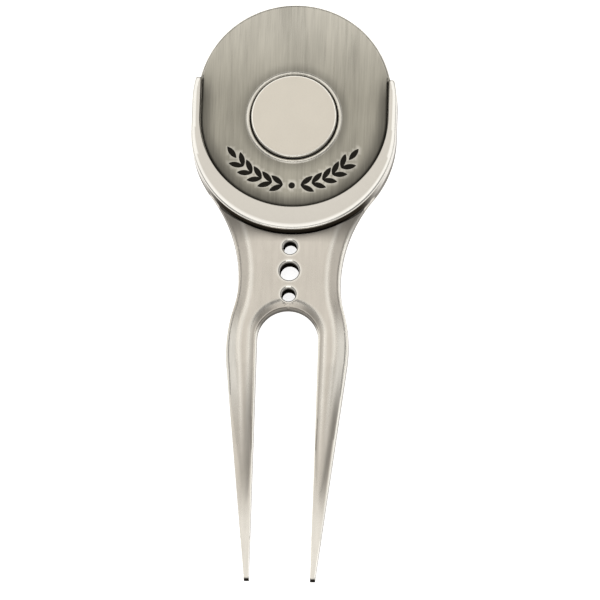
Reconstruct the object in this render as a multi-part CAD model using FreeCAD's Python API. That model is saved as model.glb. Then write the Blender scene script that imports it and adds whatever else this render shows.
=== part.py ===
"""Divot repair tool with a slide-off cap clip and a magnetic ball marker.

The tool lies on its back.  X runs across it, +Y runs from the prong tips to
the head and +Z is the normal of its face.  The origin is on the resting plane
at the middle of the tool's length and width.  All sizes are in millimetres.

The fork is one casting: head web, waisted neck and two prongs.  A crescent
cradle is riveted on the head web, and the round cap clip slides down into it.
The clip's spring tongue passes behind the web, and the clip's face holds a
magnet and a ball marker in a round seat.
"""
import FreeCAD
import Part
import math
import os

# ---- Driving dimensions: plan view ----
TOOL_LENGTH = 88.2        # prong tips to the top of the cap clip
POCKET_RADIUS = 14.0      # cradle opening, measured at its lip
LIP_OVERHANG = 0.3        # lip over the groove that holds the clip's flange
CRADLE_WALL = 0.9         # cradle wall outside the groove, at the sides
CRADLE_STRETCH = 2.3      # the outline's end arcs lie this far above and below the seat
HORN_HEIGHT = 6.0         # cradle horns end this far above the seat
JOINT_GAP = 0.3           # cradle's foot to the step in the neck
CAP_SIDE_GAP = 0.15       # clip face to the cradle's lip
FLANGE_GAP = 0.1          # clip flange to the groove's wall
CAP_TOP_EXTRA = 0.4       # the clip's top arc is this much larger than the pocket
CAP_TOP_RISE = 3.2        # centre of the clip's top arc above the seat
HORN_GAP = 0.3            # clip shoulders above the horn tips

WAIST_BELOW_CRADLE = 7.2  # narrowest place of the neck, below the cradle
SHOULDER_DROP = 10.5      # widest place of the prongs, below the waist
WAIST_CUT = 1.5           # the waist is cut in this far from the shoulders, each side
WAIST_ARC_SHARE = 0.41    # share of the waist-to-shoulder curve that is concave
PRONG_GAP = 9.0           # slot between the prongs
PRONG_ROOT_WIDTH = 4.6    # each prong at the shoulders
TIP_WIDTH = 0.75          # each prong at its blunt tip

HOLE_BELOW_CRADLE = 5.9   # middle hole, below the cradle
MIDDLE_HOLE_RADIUS = 1.5
SMALL_HOLE_RADIUS = 1.1
HOLE_CHAMFER = 0.15
HOLE_LAND = 1.05          # metal left between two holes
SLOT_LAND = 0.85          # metal left between the lowest hole and the slot's arch

# ---- Driving dimensions: heights ----
NECK_RISE = 0.95          # neck's face above the seat of the cradle; deeper than the bevels
TIP_SHARE = 0.5           # thickness at the prong tips as a share of the neck's
WEB_THICKNESS = 0.9       # head web between the tongue and the clip
CAP_GAP = 0.05            # clip back to the web
CAP_FLOOR = 0.35          # clip wall behind the magnet
SEAT_DEPTH = 0.85
FLANGE_THICKNESS = 1.3
GROOVE_GAP = 0.1          # flange to the lip above it
CRADLE_PROUD = 0.6        # cradle above the clip's face

# ---- Driving dimensions: bevels ----
FLANK_BEVEL_WIDTH = 2.0
FLANK_BEVEL_DEPTH = 0.9
SLOT_BEVEL_WIDTH = 1.1
SLOT_BEVEL_DEPTH = 0.6
TIP_BEVEL_WIDTH = 0.34    # both bevels at the prong tips
TIP_BEVEL_DEPTH = 0.35
CRADLE_EDGE = 0.3         # rounding of the cradle's outer edge
LIP_EDGE = 0.15           # rounding of the cradle's inner edge
CAP_EDGE = 0.45           # rounding of the clip's face edge

# ---- Driving dimensions: marker, magnet and seat ----
MARKER_DIAMETER = 12.7
MARKER_THICKNESS = 1.55
MARKER_EDGE = 0.2
MARKER_GAP = 0.05         # marker to the seat's floor
SEAT_GAP = 0.2            # marker rim to the seat's wall
BEAD_WIDTH = 0.6
BEAD_HEIGHT = 0.12
MAGNET_DIAMETER = 9.5
MAGNET_THICKNESS = 0.9
GLUE_GAP = 0.05

# ---- Driving dimensions: spring tongue and rivets ----
TONGUE_WIDTH = 9.0
TONGUE_THICKNESS = 0.5
TONGUE_LENGTH = 23.2
TONGUE_CORNER = 3.0
TONGUE_TIP_BEND = 0.22    # the tip leans away from the web by this much
TONGUE_TIP_RUN = 1.8
TONGUE_GAP = 0.1          # tongue to the web
RECESS_MARGIN = 0.4       # recess round the tongue
BOSS_LENGTH = 4.0
BOSS_INSET = 2.0          # boss below the clip's top
BOSS_GAP = 0.4            # boss to the web's top edge
WEB_MARGIN = 0.8          # the web's disc is this much smaller than the pocket

RIVET_FIT = 0.02          # radial clearance round each shank
CLIP_RIVET_RADIUS = 0.75
CLIP_RIVET_HEAD_RADIUS = 1.25
CLIP_RIVET_HEAD = 0.3
CLIP_RIVET_SPACING = 5.0
CLIP_RIVET_BITE = 1.5     # shank inside the clip
REST_GAP = 0.05           # rivet heads above the resting plane
CRADLE_RIVET_RADIUS = 0.6
CRADLE_RIVET_HEAD_RADIUS = 0.95
CRADLE_RIVET_HEAD = 0.5
CRADLE_RIVET_BITE = 1.5   # shank inside the cradle
CRADLE_RIVET_SPREAD = 32.0  # degrees each side of the lowest rivet

# ---- Driving dimensions: engraved garland ----
GARLAND_PLACE = 0.55      # share of the way from the bead to the face's rounded edge
ENGRAVING_DEPTH = 0.15
LEAF_SHARE = 0.37         # leaf length as a share of that way
LEAF_SLIMNESS = 0.37      # leaf width as a share of its length
LEAF_TILT = 32.0          # degrees from the garland's line
LEAF_PAIRS = 5            # on each branch
LEAF_PITCH = 9.0          # degrees along the garland
FIRST_LEAF = 7.0          # degrees from the garland's middle
BERRY_RADIUS = 0.5

# ---- Heights that follow ----
TONGUE_BOTTOM = REST_GAP + CLIP_RIVET_HEAD
TONGUE_TOP = TONGUE_BOTTOM + TONGUE_THICKNESS
RECESS_DEPTH = TONGUE_TOP + TONGUE_GAP
WEB_FRONT = RECESS_DEPTH + WEB_THICKNESS
CAP_BACK = WEB_FRONT + CAP_GAP
MAGNET_BOTTOM = CAP_BACK + CAP_FLOOR
SEAT_FLOOR = MAGNET_BOTTOM + MAGNET_THICKNESS
CAP_FACE = SEAT_FLOOR + SEAT_DEPTH
FLANGE_TOP = CAP_BACK + FLANGE_THICKNESS
GROOVE_TOP = FLANGE_TOP + GROOVE_GAP
CRADLE_TOP = CAP_FACE + CRADLE_PROUD
NECK_THICKNESS = WEB_FRONT + NECK_RISE
TIP_THICKNESS = NECK_THICKNESS * TIP_SHARE

# ---- Plan places that follow ----
CAP_TOP_RADIUS = POCKET_RADIUS + CAP_TOP_EXTRA
GROOVE_RADIUS = POCKET_RADIUS + LIP_OVERHANG
CRADLE_RADIUS = GROOVE_RADIUS + CRADLE_WALL
TIP_Y = -TOOL_LENGTH / 2
CAP_TOP_Y = TOOL_LENGTH / 2
SEAT_Y = CAP_TOP_Y - CAP_TOP_RADIUS - CAP_TOP_RISE
HORN_Y = SEAT_Y + HORN_HEIGHT
CRADLE_LOW_Y = SEAT_Y - CRADLE_STRETCH
CRADLE_HIGH_Y = SEAT_Y + CRADLE_STRETCH
CRADLE_BOTTOM_Y = CRADLE_LOW_Y - CRADLE_RADIUS
WAIST_Y = CRADLE_BOTTOM_Y - WAIST_BELOW_CRADLE
SHOULDER_Y = WAIST_Y - SHOULDER_DROP
HOLE_PITCH = MIDDLE_HOLE_RADIUS + HOLE_LAND + SMALL_HOLE_RADIUS
HOLE_Y = CRADLE_BOTTOM_Y - HOLE_BELOW_CRADLE
SLOT_HALF = PRONG_GAP / 2
SLOT_Y = HOLE_Y - HOLE_PITCH - SMALL_HOLE_RADIUS - SLOT_LAND - SLOT_HALF
SHOULDER_X = SLOT_HALF + PRONG_ROOT_WIDTH
WAIST_X = SHOULDER_X - WAIST_CUT
TIP_X = SLOT_HALF + TIP_WIDTH
BOSS_TOP_Y = CAP_TOP_Y - BOSS_INSET
BOSS_BOTTOM_Y = BOSS_TOP_Y - BOSS_LENGTH
WEB_TOP_Y = BOSS_BOTTOM_Y - BOSS_GAP
TONGUE_TIP_Y = BOSS_TOP_Y - TONGUE_LENGTH
SEAT_RADIUS = MARKER_DIAMETER / 2 + SEAT_GAP
BEAD_RADIUS = SEAT_RADIUS + BEAD_WIDTH
PLAIN_BAND = POCKET_RADIUS - CAP_SIDE_GAP - CAP_EDGE - BEAD_RADIUS
GARLAND_RADIUS = BEAD_RADIUS + PLAIN_BAND * GARLAND_PLACE
LEAF_LENGTH = PLAIN_BAND * LEAF_SHARE
LEAF_WIDTH = LEAF_LENGTH * LEAF_SLIMNESS

UP = FreeCAD.Vector(0, 0, 1)
AIR = 1.0                 # how far cutting solids run past the surfaces they cut


def at(x, y, z=0.0):
    """Point in the tool's frame."""
    return FreeCAD.Vector(x, y, z)


def on_circle(centre, radius, degrees):
    """Point on a circle in the plan, with its angle from +X."""
    turn = math.radians(degrees)
    return centre + at(radius * math.cos(turn), radius * math.sin(turn))


def heading(start, end):
    """Angle in degrees of the line from one plan point to another, from 0 to 360."""
    return math.degrees(math.atan2(end.y - start.y, end.x - start.x)) % 360


def arc(centre, radius, start, end):
    """Arc edge between two angles in degrees."""
    middle = (start + end) / 2
    ends = [on_circle(centre, radius, degrees) for degrees in (start, middle, end)]
    return Part.Arc(*ends).toShape()


def line(start, end):
    """Straight edge."""
    return Part.LineSegment(start, end).toShape()


def slab(edges, bottom, top):
    """Solid between two heights over a closed outline."""
    face = Part.Face(Part.Wire(Part.__sortEdges__(edges)))
    face.translate(at(0, 0, bottom))
    return face.extrude(at(0, 0, top - bottom))


def mirrored(shape):
    """Copy on the other side of the tool's middle plane."""
    return shape.mirror(at(0, 0), at(1, 0))


def drum(x, y, radius, bottom, top):
    """Upright cylinder between two heights."""
    return Part.makeCylinder(radius, top - bottom, at(x, y, bottom), UP)


def block(half_width, low_y, high_y, bottom, top):
    """Upright box, centred across the tool."""
    corner = at(-half_width, low_y, bottom)
    return Part.makeBox(2 * half_width, high_y - low_y, top - bottom, corner)


def u_outline(radius, top_y):
    """Half circle round the seat with straight arms up to a height in Y."""
    seat = at(0, SEAT_Y)
    right = at(radius, SEAT_Y)
    left = at(-radius, SEAT_Y)
    return [
        arc(seat, radius, 180, 360),
        line(right, at(radius, top_y)),
        line(at(radius, top_y), at(-radius, top_y)),
        line(at(-radius, top_y), left),
    ]


def cradle_outline(growth=0.0):
    """Cradle seen from the front: two end arcs and straight sides, cut off at the horns."""
    radius = CRADLE_RADIUS + growth
    low = at(0, CRADLE_LOW_Y)
    high = at(0, CRADLE_HIGH_Y)
    cut = math.degrees(math.asin((HORN_Y + growth - CRADLE_HIGH_Y) / radius))
    horn = on_circle(high, radius, cut)
    return [
        arc(low, radius, 180, 360),
        line(on_circle(low, radius, 0), on_circle(high, radius, 0)),
        arc(high, radius, 0, cut),
        line(horn, at(-horn.x, horn.y)),
        arc(high, radius, 180 - cut, 180),
        line(on_circle(high, radius, 180), on_circle(low, radius, 180)),
    ]


class Flank:
    """Right side of the fork below the cradle: three tangent arcs and a straight taper."""

    def __init__(self):
        cradle = at(0, CRADLE_LOW_Y)
        drop = CRADLE_LOW_Y - WAIST_Y
        spare = CRADLE_RADIUS - WAIST_X
        self.neck_radius = (WAIST_X**2 + drop**2 - CRADLE_RADIUS**2) / (2 * spare)
        self.neck = at(WAIST_X + self.neck_radius, WAIST_Y)
        self.neck_start = heading(self.neck, cradle)

        both = (WAIST_CUT**2 + SHOULDER_DROP**2) / (2 * WAIST_CUT)
        self.waist_radius = both * WAIST_ARC_SHARE
        self.waist = at(WAIST_X + self.waist_radius, WAIST_Y)
        self.shoulder_radius = both - self.waist_radius
        self.shoulder = at(SHOULDER_X - self.shoulder_radius, SHOULDER_Y)
        self.bend = heading(self.waist, self.shoulder)

        tip = at(TIP_X, TIP_Y)
        reach = tip.distanceToPoint(self.shoulder)
        swing = math.degrees(math.acos(self.shoulder_radius / reach))
        self.taper_start = heading(self.shoulder, tip) + swing - 360
        self.taper_top = on_circle(self.shoulder, self.shoulder_radius, self.taper_start)
        self.tip = tip

    def edges(self):
        """Edges from the cradle's outline down to the prong tip."""
        return [
            arc(self.neck, self.neck_radius, self.neck_start, 180),
            arc(self.waist, self.waist_radius, 180, self.bend),
            arc(self.shoulder, self.shoulder_radius, self.bend - 180, self.taper_start),
            line(self.taper_top, self.tip),
        ]


FLANK = Flank()


def fork_outline():
    """Fork seen from the front, from the horn tips to the prong tips."""
    radius = CRADLE_RADIUS
    low = at(0, CRADLE_LOW_Y)
    high = at(0, CRADLE_HIGH_Y)
    cut = math.degrees(math.asin((HORN_Y - CRADLE_HIGH_Y) / radius))
    side = [
        arc(high, radius, cut, 0),
        line(on_circle(high, radius, 0), on_circle(low, radius, 0)),
        arc(low, radius, 0, FLANK.neck_start - 180),
    ]
    side += FLANK.edges()
    side += [
        line(FLANK.tip, at(SLOT_HALF, TIP_Y)),
        line(at(SLOT_HALF, TIP_Y), at(SLOT_HALF, SLOT_Y)),
    ]
    horn = on_circle(high, radius, cut)
    ends = [
        line(horn, at(-horn.x, horn.y)),
        arc(at(0, SLOT_Y), SLOT_HALF, 0, 180),
    ]
    return side + [mirrored(edge) for edge in side] + ends


def bevel_corners(edge_out, inward, top, width, depth):
    """Cutting triangle whose long side is the bevel, run past the surfaces at both ends.

    edge_out is the point where the wall meets the top, and inward the unit
    direction in the plan from that wall into the metal.
    """
    slope = inward * width + at(0, 0, depth)
    foot = at(edge_out.x, edge_out.y, top - depth)
    low = foot - slope * 0.5
    high = foot + slope * 1.5
    return [low, high, at(low.x, low.y, high.z)]


def triangle(corners):
    """Closed wire through three corners."""
    return Part.makePolygon(corners + corners[:1])


def arc_bevel(centre, radius, start, end, metal, width, depth):
    """Cutter along an arc; metal is 1 where the casting is outside the arc, else -1."""
    inward = on_circle(at(0, 0), metal, start)
    edge_out = on_circle(centre, radius, start)
    corners = bevel_corners(edge_out, inward, NECK_THICKNESS, width, depth)
    face = Part.Face(triangle(corners))
    return face.revolve(centre, UP, end - start)


def straight_bevel(start, end, inward, sizes, end_sizes):
    """Cutter along a straight edge, from one set of top, width and depth to another."""
    first = bevel_corners(start, inward, *sizes)
    last = bevel_corners(end, inward, *end_sizes)
    return Part.makeLoft([triangle(first), triangle(last)], True, True)


def past_tip(start, end, sizes, end_sizes):
    """The same edge and sizes, run on past the prong tip at the same rate."""
    share = AIR / (end - start).Length
    far = end + (end - start) * share
    far_sizes = [last + (last - first) * share for first, last in zip(sizes, end_sizes)]
    return far, far_sizes


def flank_bevels():
    """Cutters along the right side of the neck, shoulder and prong."""
    size = (FLANK_BEVEL_WIDTH, FLANK_BEVEL_DEPTH)
    sizes = [NECK_THICKNESS, *size]
    tip_sizes = [TIP_THICKNESS, TIP_BEVEL_WIDTH, TIP_BEVEL_DEPTH]
    inward = on_circle(at(0, 0), -1, FLANK.taper_start)
    far, far_sizes = past_tip(FLANK.taper_top, FLANK.tip, sizes, tip_sizes)
    return [
        arc_bevel(FLANK.neck, FLANK.neck_radius, FLANK.neck_start, 180, 1, *size),
        arc_bevel(FLANK.waist, FLANK.waist_radius, 180, FLANK.bend, 1, *size),
        arc_bevel(
            FLANK.shoulder, FLANK.shoulder_radius, FLANK.bend - 180, FLANK.taper_start, -1, *size
        ),
        straight_bevel(FLANK.taper_top, far, inward, sizes, far_sizes),
    ]


def slot_bevels():
    """Cutters along the slot's right side; the arch has one of its own."""
    sizes = [NECK_THICKNESS, SLOT_BEVEL_WIDTH, SLOT_BEVEL_DEPTH]
    tip_sizes = [TIP_THICKNESS, TIP_BEVEL_WIDTH, TIP_BEVEL_DEPTH]
    top = at(SLOT_HALF, SLOT_Y)
    bend = at(SLOT_HALF, FLANK.taper_top.y)
    tip = at(SLOT_HALF, TIP_Y)
    far, far_sizes = past_tip(bend, tip, sizes, tip_sizes)
    inward = at(1, 0)
    return [
        straight_bevel(top, bend, inward, sizes, sizes),
        straight_bevel(bend, far, inward, sizes, far_sizes),
    ]


def arch_bevel():
    """Cutter round the arch of the slot."""
    centre = at(0, SLOT_Y)
    return arc_bevel(centre, SLOT_HALF, 0, 180, 1, SLOT_BEVEL_WIDTH, SLOT_BEVEL_DEPTH)


def prong_slope():
    """Wedge that thins the prongs evenly from the shoulders to the tips."""
    start = FLANK.taper_top.y
    fall = (NECK_THICKNESS - TIP_THICKNESS) / (start - TIP_Y)
    far = TIP_Y - AIR
    half = SHOULDER_X + AIR
    corners = [
        at(-half, start, NECK_THICKNESS),
        at(-half, start, NECK_THICKNESS + AIR),
        at(-half, far, NECK_THICKNESS + AIR),
        at(-half, far, NECK_THICKNESS - fall * (start - far)),
    ]
    face = Part.Face(Part.makePolygon(corners + corners[:1]))
    return face.extrude(at(2 * half, 0))


def hole_places():
    """Y and radius of the three holes in the neck."""
    return [
        (HOLE_Y + HOLE_PITCH, SMALL_HOLE_RADIUS),
        (HOLE_Y, MIDDLE_HOLE_RADIUS),
        (HOLE_Y - HOLE_PITCH, SMALL_HOLE_RADIUS),
    ]


def hole_cutter(y, radius):
    """Through hole with a small chamfer at its front mouth."""
    cone = Part.makeCone(
        radius,
        radius + HOLE_CHAMFER + AIR,
        HOLE_CHAMFER + AIR,
        at(0, y, NECK_THICKNESS - HOLE_CHAMFER),
        UP,
    )
    return drum(0, y, radius, -AIR, NECK_THICKNESS + AIR).fuse(cone)


def cradle_rivet_places():
    """Plan points of the cradle rivets, midway across its wall."""
    places = []
    for turn in (-CRADLE_RIVET_SPREAD, 0.0, CRADLE_RIVET_SPREAD):
        across = math.sin(math.radians(turn))
        along = math.cos(math.radians(turn))
        shift = CRADLE_STRETCH * along
        rim = shift + math.sqrt(CRADLE_RADIUS**2 - (CRADLE_STRETCH * across) ** 2)
        middle = (GROOVE_RADIUS + rim) / 2
        places.append(at(middle * across, SEAT_Y - middle * along))
    return places


def clip_rivet_places():
    """Plan points of the two rivets that hold the tongue on the clip."""
    half = CLIP_RIVET_SPACING / 2
    y = (BOSS_TOP_Y + BOSS_BOTTOM_Y) / 2
    return [at(-half, y), at(half, y)]


def tongue_plan(margin, top_y):
    """Tongue seen from behind, grown by a margin, up to a height in Y."""
    half = TONGUE_WIDTH / 2 + margin
    radius = TONGUE_CORNER + margin
    low = TONGUE_TIP_Y - margin
    inner = half - radius
    return [
        line(at(half, top_y), at(half, low + radius)),
        arc(at(inner, low + radius), radius, 360, 270),
        line(at(inner, low), at(-inner, low)),
        arc(at(-inner, low + radius), radius, 270, 180),
        line(at(-half, low + radius), at(-half, top_y)),
        line(at(-half, top_y), at(half, top_y)),
    ]


def make_fork_body():
    """Casting with the head web, the waisted neck with its holes and the two prongs."""
    body = slab(fork_outline(), 0, NECK_THICKNESS)
    right = flank_bevels() + slot_bevels()
    cutters = right + [mirrored(cutter) for cutter in right]
    cutters += [arch_bevel(), prong_slope()]
    cutters += [hole_cutter(y, radius) for y, radius in hole_places()]
    body = body.cut(cutters)

    step = slab(cradle_outline(JOINT_GAP), WEB_FRONT, NECK_THICKNESS + AIR)
    body = body.cut(step)
    disc = drum(0, SEAT_Y, POCKET_RADIUS - WEB_MARGIN, 0, WEB_FRONT)
    disc = disc.common(block(POCKET_RADIUS, SEAT_Y, WEB_TOP_Y, 0, WEB_FRONT))
    body = body.fuse(disc).removeSplitter()

    recess = slab(tongue_plan(RECESS_MARGIN, CAP_TOP_Y + AIR), -AIR, RECESS_DEPTH)
    body = body.cut(recess)
    for place in cradle_rivet_places():
        head = CRADLE_RIVET_HEAD_RADIUS + RIVET_FIT
        body = body.cut(drum(place.x, place.y, head, -AIR, REST_GAP + CRADLE_RIVET_HEAD))
        shank = CRADLE_RIVET_RADIUS + RIVET_FIT
        body = body.cut(drum(place.x, place.y, shank, -AIR, WEB_FRONT + AIR))
    return body.removeSplitter()


def edges_at(shape, height, radius=None):
    """Edges that lie at one height, and only arcs of one radius if it is given."""
    found = []
    for edge in shape.Edges:
        box = edge.BoundBox
        if abs(box.ZMin - height) > 1e-4 or abs(box.ZMax - height) > 1e-4:
            continue
        if radius is not None and not has_radius(edge, radius):
            continue
        found.append(edge)
    return found


def has_radius(edge, radius):
    """True for an arc of that radius."""
    return hasattr(edge.Curve, "Radius") and abs(edge.Curve.Radius - radius) < 1e-4


def make_cradle_rim():
    """Crescent with two horns, whose lip overhangs the groove for the clip."""
    rim = slab(cradle_outline(), WEB_FRONT, CRADLE_TOP)
    outer = edges_at(rim, CRADLE_TOP)
    outer = [edge for edge in outer if edge.BoundBox.YMin < HORN_Y - 1e-3]
    rim = rim.makeFillet(CRADLE_EDGE, outer)
    high = HORN_Y + AIR
    pocket = slab(u_outline(POCKET_RADIUS, high), WEB_FRONT - AIR, CRADLE_TOP + AIR)
    mouth = slab(u_outline(POCKET_RADIUS + LIP_EDGE, high), CRADLE_TOP - LIP_EDGE, CRADLE_TOP + AIR)
    groove = slab(u_outline(GROOVE_RADIUS, high), WEB_FRONT - AIR, GROOVE_TOP)
    rim = rim.cut([pocket, mouth, groove])
    for place in cradle_rivet_places():
        top = WEB_FRONT + CRADLE_RIVET_BITE + REST_GAP
        shank = CRADLE_RIVET_RADIUS + RIVET_FIT
        rim = rim.cut(drum(place.x, place.y, shank, WEB_FRONT - AIR, top))
    return rim.removeSplitter()


def make_rim_rivets():
    """Three flush drive rivets, driven from the back through the web into the cradle."""
    rivets = []
    for place in cradle_rivet_places():
        head_top = REST_GAP + CRADLE_RIVET_HEAD
        head = drum(place.x, place.y, CRADLE_RIVET_HEAD_RADIUS, REST_GAP, head_top)
        shank_top = WEB_FRONT + CRADLE_RIVET_BITE
        shank = drum(place.x, place.y, CRADLE_RIVET_RADIUS, REST_GAP, shank_top)
        rivets.append(head.fuse(shank).removeSplitter())
    return Part.makeCompound(rivets)


def leaf(base, direction):
    """Cutter for one pointed leaf that starts at base and runs along a direction in degrees."""
    tip = on_circle(base, LEAF_LENGTH, direction)
    middle = (base + tip) / 2
    left = on_circle(middle, LEAF_WIDTH / 2, direction + 90)
    right = on_circle(middle, LEAF_WIDTH / 2, direction - 90)
    edges = [Part.Arc(base, left, tip).toShape(), Part.Arc(tip, right, base).toShape()]
    return slab(edges, CAP_FACE - ENGRAVING_DEPTH, CAP_FACE + AIR)


def garland():
    """Cutters for the two engraved branches that meet in a berry below the seat."""
    seat = at(0, SEAT_Y)
    low = CAP_FACE - ENGRAVING_DEPTH
    cutters = [drum(0, SEAT_Y - GARLAND_RADIUS, BERRY_RADIUS, low, CAP_FACE + AIR)]
    for side in (1, -1):
        for pair in range(LEAF_PAIRS + 1):
            turn = side * (FIRST_LEAF + pair * LEAF_PITCH)
            base = on_circle(seat, GARLAND_RADIUS, turn - 90)
            along = turn if side > 0 else turn + 180
            tilts = (LEAF_TILT, -LEAF_TILT) if pair < LEAF_PAIRS else (0.0,)
            cutters += [leaf(base, along + tilt) for tilt in tilts]
    return cutters


def make_clip_plate():
    """Round clip with a flange for the cradle, the marker's seat, a bead and a boss behind."""
    shoulder_y = HORN_Y + HORN_GAP
    # The arms end just above the shoulders, where the crown is still wider than they are.
    arms_y = shoulder_y + CAP_EDGE
    face = slab(u_outline(POCKET_RADIUS - CAP_SIDE_GAP, arms_y), CAP_BACK, CAP_FACE)
    sides = [edge for edge in edges_at(face, CAP_FACE) if edge.BoundBox.YMin < shoulder_y]
    face = face.makeFillet(CAP_EDGE, sides)
    crown = drum(0, SEAT_Y + CAP_TOP_RISE, CAP_TOP_RADIUS, CAP_BACK, CAP_FACE)
    crown = crown.makeFillet(CAP_EDGE, edges_at(crown, CAP_FACE))
    crown = crown.common(block(CAP_TOP_RADIUS, shoulder_y, CAP_TOP_Y + AIR, CAP_BACK, CAP_FACE))

    flange = slab(u_outline(GROOVE_RADIUS - FLANGE_GAP, shoulder_y), CAP_BACK, FLANGE_TOP)
    bead = drum(0, SEAT_Y, BEAD_RADIUS, CAP_FACE - AIR, CAP_FACE + BEAD_HEIGHT)
    boss = block(TONGUE_WIDTH / 2, BOSS_BOTTOM_Y, BOSS_TOP_Y, TONGUE_TOP, CAP_BACK + CAP_FLOOR)
    plate = face.fuse([crown, flange, bead, boss]).removeSplitter()

    magnet = MAGNET_DIAMETER / 2 + GLUE_GAP
    cutters = garland()
    cutters.append(drum(0, SEAT_Y, SEAT_RADIUS, SEAT_FLOOR, CAP_FACE + AIR))
    cutters.append(drum(0, SEAT_Y, magnet, MAGNET_BOTTOM, CAP_FACE + AIR))
    for place in clip_rivet_places():
        top = TONGUE_TOP + CLIP_RIVET_BITE + REST_GAP
        cutters.append(drum(place.x, place.y, CLIP_RIVET_RADIUS + RIVET_FIT, 0, top))
    return plate.cut(cutters).removeSplitter()


def make_clip_spring():
    """Spring steel tongue behind the web, with its tip bent away as a lead-in."""
    bend_y = TONGUE_TIP_Y + TONGUE_TIP_RUN
    outline = [
        (BOSS_TOP_Y, TONGUE_BOTTOM),
        (BOSS_TOP_Y, TONGUE_TOP),
        (bend_y, TONGUE_TOP),
        (TONGUE_TIP_Y, TONGUE_TOP - TONGUE_TIP_BEND),
        (TONGUE_TIP_Y, TONGUE_BOTTOM - TONGUE_TIP_BEND),
        (bend_y, TONGUE_BOTTOM),
    ]
    half = TONGUE_WIDTH / 2
    corners = [at(-half, y, z) for y, z in outline]
    strip = Part.Face(Part.makePolygon(corners + corners[:1])).extrude(at(TONGUE_WIDTH, 0))
    strip = strip.common(slab(tongue_plan(0.0, BOSS_TOP_Y), 0, TONGUE_TOP + AIR))
    for place in clip_rivet_places():
        shank = CLIP_RIVET_RADIUS + RIVET_FIT
        strip = strip.cut(drum(place.x, place.y, shank, 0, TONGUE_TOP + AIR))
    return strip.removeSplitter()


def make_spring_rivets():
    """Two rivets through the tongue into the clip's boss."""
    rivets = []
    for place in clip_rivet_places():
        head = drum(place.x, place.y, CLIP_RIVET_HEAD_RADIUS, REST_GAP, TONGUE_BOTTOM)
        shank_top = TONGUE_TOP + CLIP_RIVET_BITE
        shank = drum(place.x, place.y, CLIP_RIVET_RADIUS, REST_GAP, shank_top)
        rivets.append(head.fuse(shank).removeSplitter())
    return Part.makeCompound(rivets)


def make_marker_magnet():
    """Disc magnet, flush with the floor of the seat."""
    return drum(0, SEAT_Y, MAGNET_DIAMETER / 2, MAGNET_BOTTOM, SEAT_FLOOR)


def make_ball_marker():
    """Steel marker disc with a chamfered face edge, standing proud of the clip."""
    bottom = SEAT_FLOOR + MARKER_GAP
    disc = drum(0, SEAT_Y, MARKER_DIAMETER / 2, bottom, bottom + MARKER_THICKNESS)
    return disc.makeChamfer(MARKER_EDGE, edges_at(disc, bottom + MARKER_THICKNESS))


PIECES = {
    "fork_body": make_fork_body,
    "cradle_rim": make_cradle_rim,
    "rim_rivets": make_rim_rivets,
    "clip_plate": make_clip_plate,
    "clip_spring": make_clip_spring,
    "spring_rivets": make_spring_rivets,
    "marker_magnet": make_marker_magnet,
    "ball_marker": make_ball_marker,
}


def main():
    """Write one STEP file for each piece."""
    os.makedirs("parts", exist_ok=True)
    for name, make in PIECES.items():
        shape = make()
        shape.exportStep(f"parts/{name}.step")
        box = shape.BoundBox
        low = f"{box.XMin:.3f} {box.YMin:.3f} {box.ZMin:.3f}"
        high = f"{box.XMax:.3f} {box.YMax:.3f} {box.ZMax:.3f}"
        print(f"{name}: {len(shape.Solids)} solid, valid {shape.isValid()}, {low} to {high}")


main()
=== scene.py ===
"""Divot repair tool with a slide-off cap clip and a magnetic ball marker: visual model.

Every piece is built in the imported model's frame: X across the tool, +Y towards the head
and +Z out of the face with the marker.  Sizes in the classes are in millimetres, and
meshes are made in metres.
"""

import logging
import math
from collections.abc import Callable
from dataclasses import dataclass, field
from enum import Enum

import bpy
import numpy as np
from mathutils import Matrix, Vector
from mathutils.geometry import delaunay_2d_cdt

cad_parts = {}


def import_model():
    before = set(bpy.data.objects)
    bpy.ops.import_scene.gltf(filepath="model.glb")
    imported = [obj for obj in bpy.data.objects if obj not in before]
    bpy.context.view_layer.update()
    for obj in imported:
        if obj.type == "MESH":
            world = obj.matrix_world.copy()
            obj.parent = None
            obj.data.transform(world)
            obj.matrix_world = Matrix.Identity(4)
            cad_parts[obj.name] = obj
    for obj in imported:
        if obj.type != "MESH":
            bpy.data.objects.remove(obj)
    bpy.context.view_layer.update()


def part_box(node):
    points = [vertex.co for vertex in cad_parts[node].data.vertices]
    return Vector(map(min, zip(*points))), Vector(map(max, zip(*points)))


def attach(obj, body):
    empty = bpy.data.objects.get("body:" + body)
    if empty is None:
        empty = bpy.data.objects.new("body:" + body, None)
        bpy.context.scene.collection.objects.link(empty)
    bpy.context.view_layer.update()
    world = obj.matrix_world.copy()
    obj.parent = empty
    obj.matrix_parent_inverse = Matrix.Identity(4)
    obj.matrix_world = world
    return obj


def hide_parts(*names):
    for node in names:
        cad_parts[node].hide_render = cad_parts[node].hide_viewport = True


LOG = logging.getLogger("divot_tool")
MM = 0.001
ON_LINE = 1e-3              # a point nearer than this to a line lies on it
CELL = 0.03                 # loose points in one cell of this size are one point
ROW_CLEAR = 0.14            # no loose point comes nearer than this to a row
BORE_CLEAR = 0.06           # nor nearer than this to a through hole
SLIVER = 1e-9               # twice the area below which a triangle is dropped
NOISE_SPAN = (0.28, 0.72)   # where nearly all values of Blender's noise lie

Relief = Callable[[np.ndarray], np.ndarray]


class Body(Enum):
    """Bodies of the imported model."""

    FORK = "fork"
    CLIP = "cap_clip"
    MARKER = "marker"


class Slot(Enum):
    """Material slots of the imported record."""

    CASTING = "satin_nickel_casting"
    POLISHED = "polished_nickel"
    RIVET = "rivet_steel"
    ANTIQUE = "antique_nickel"
    SPRING = "spring_steel"
    MAGNET = "magnet_nickel"
    PEARL = "pearl_nickel"


# ---------------------------------------------------------------------------
# Plane geometry
# ---------------------------------------------------------------------------


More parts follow.
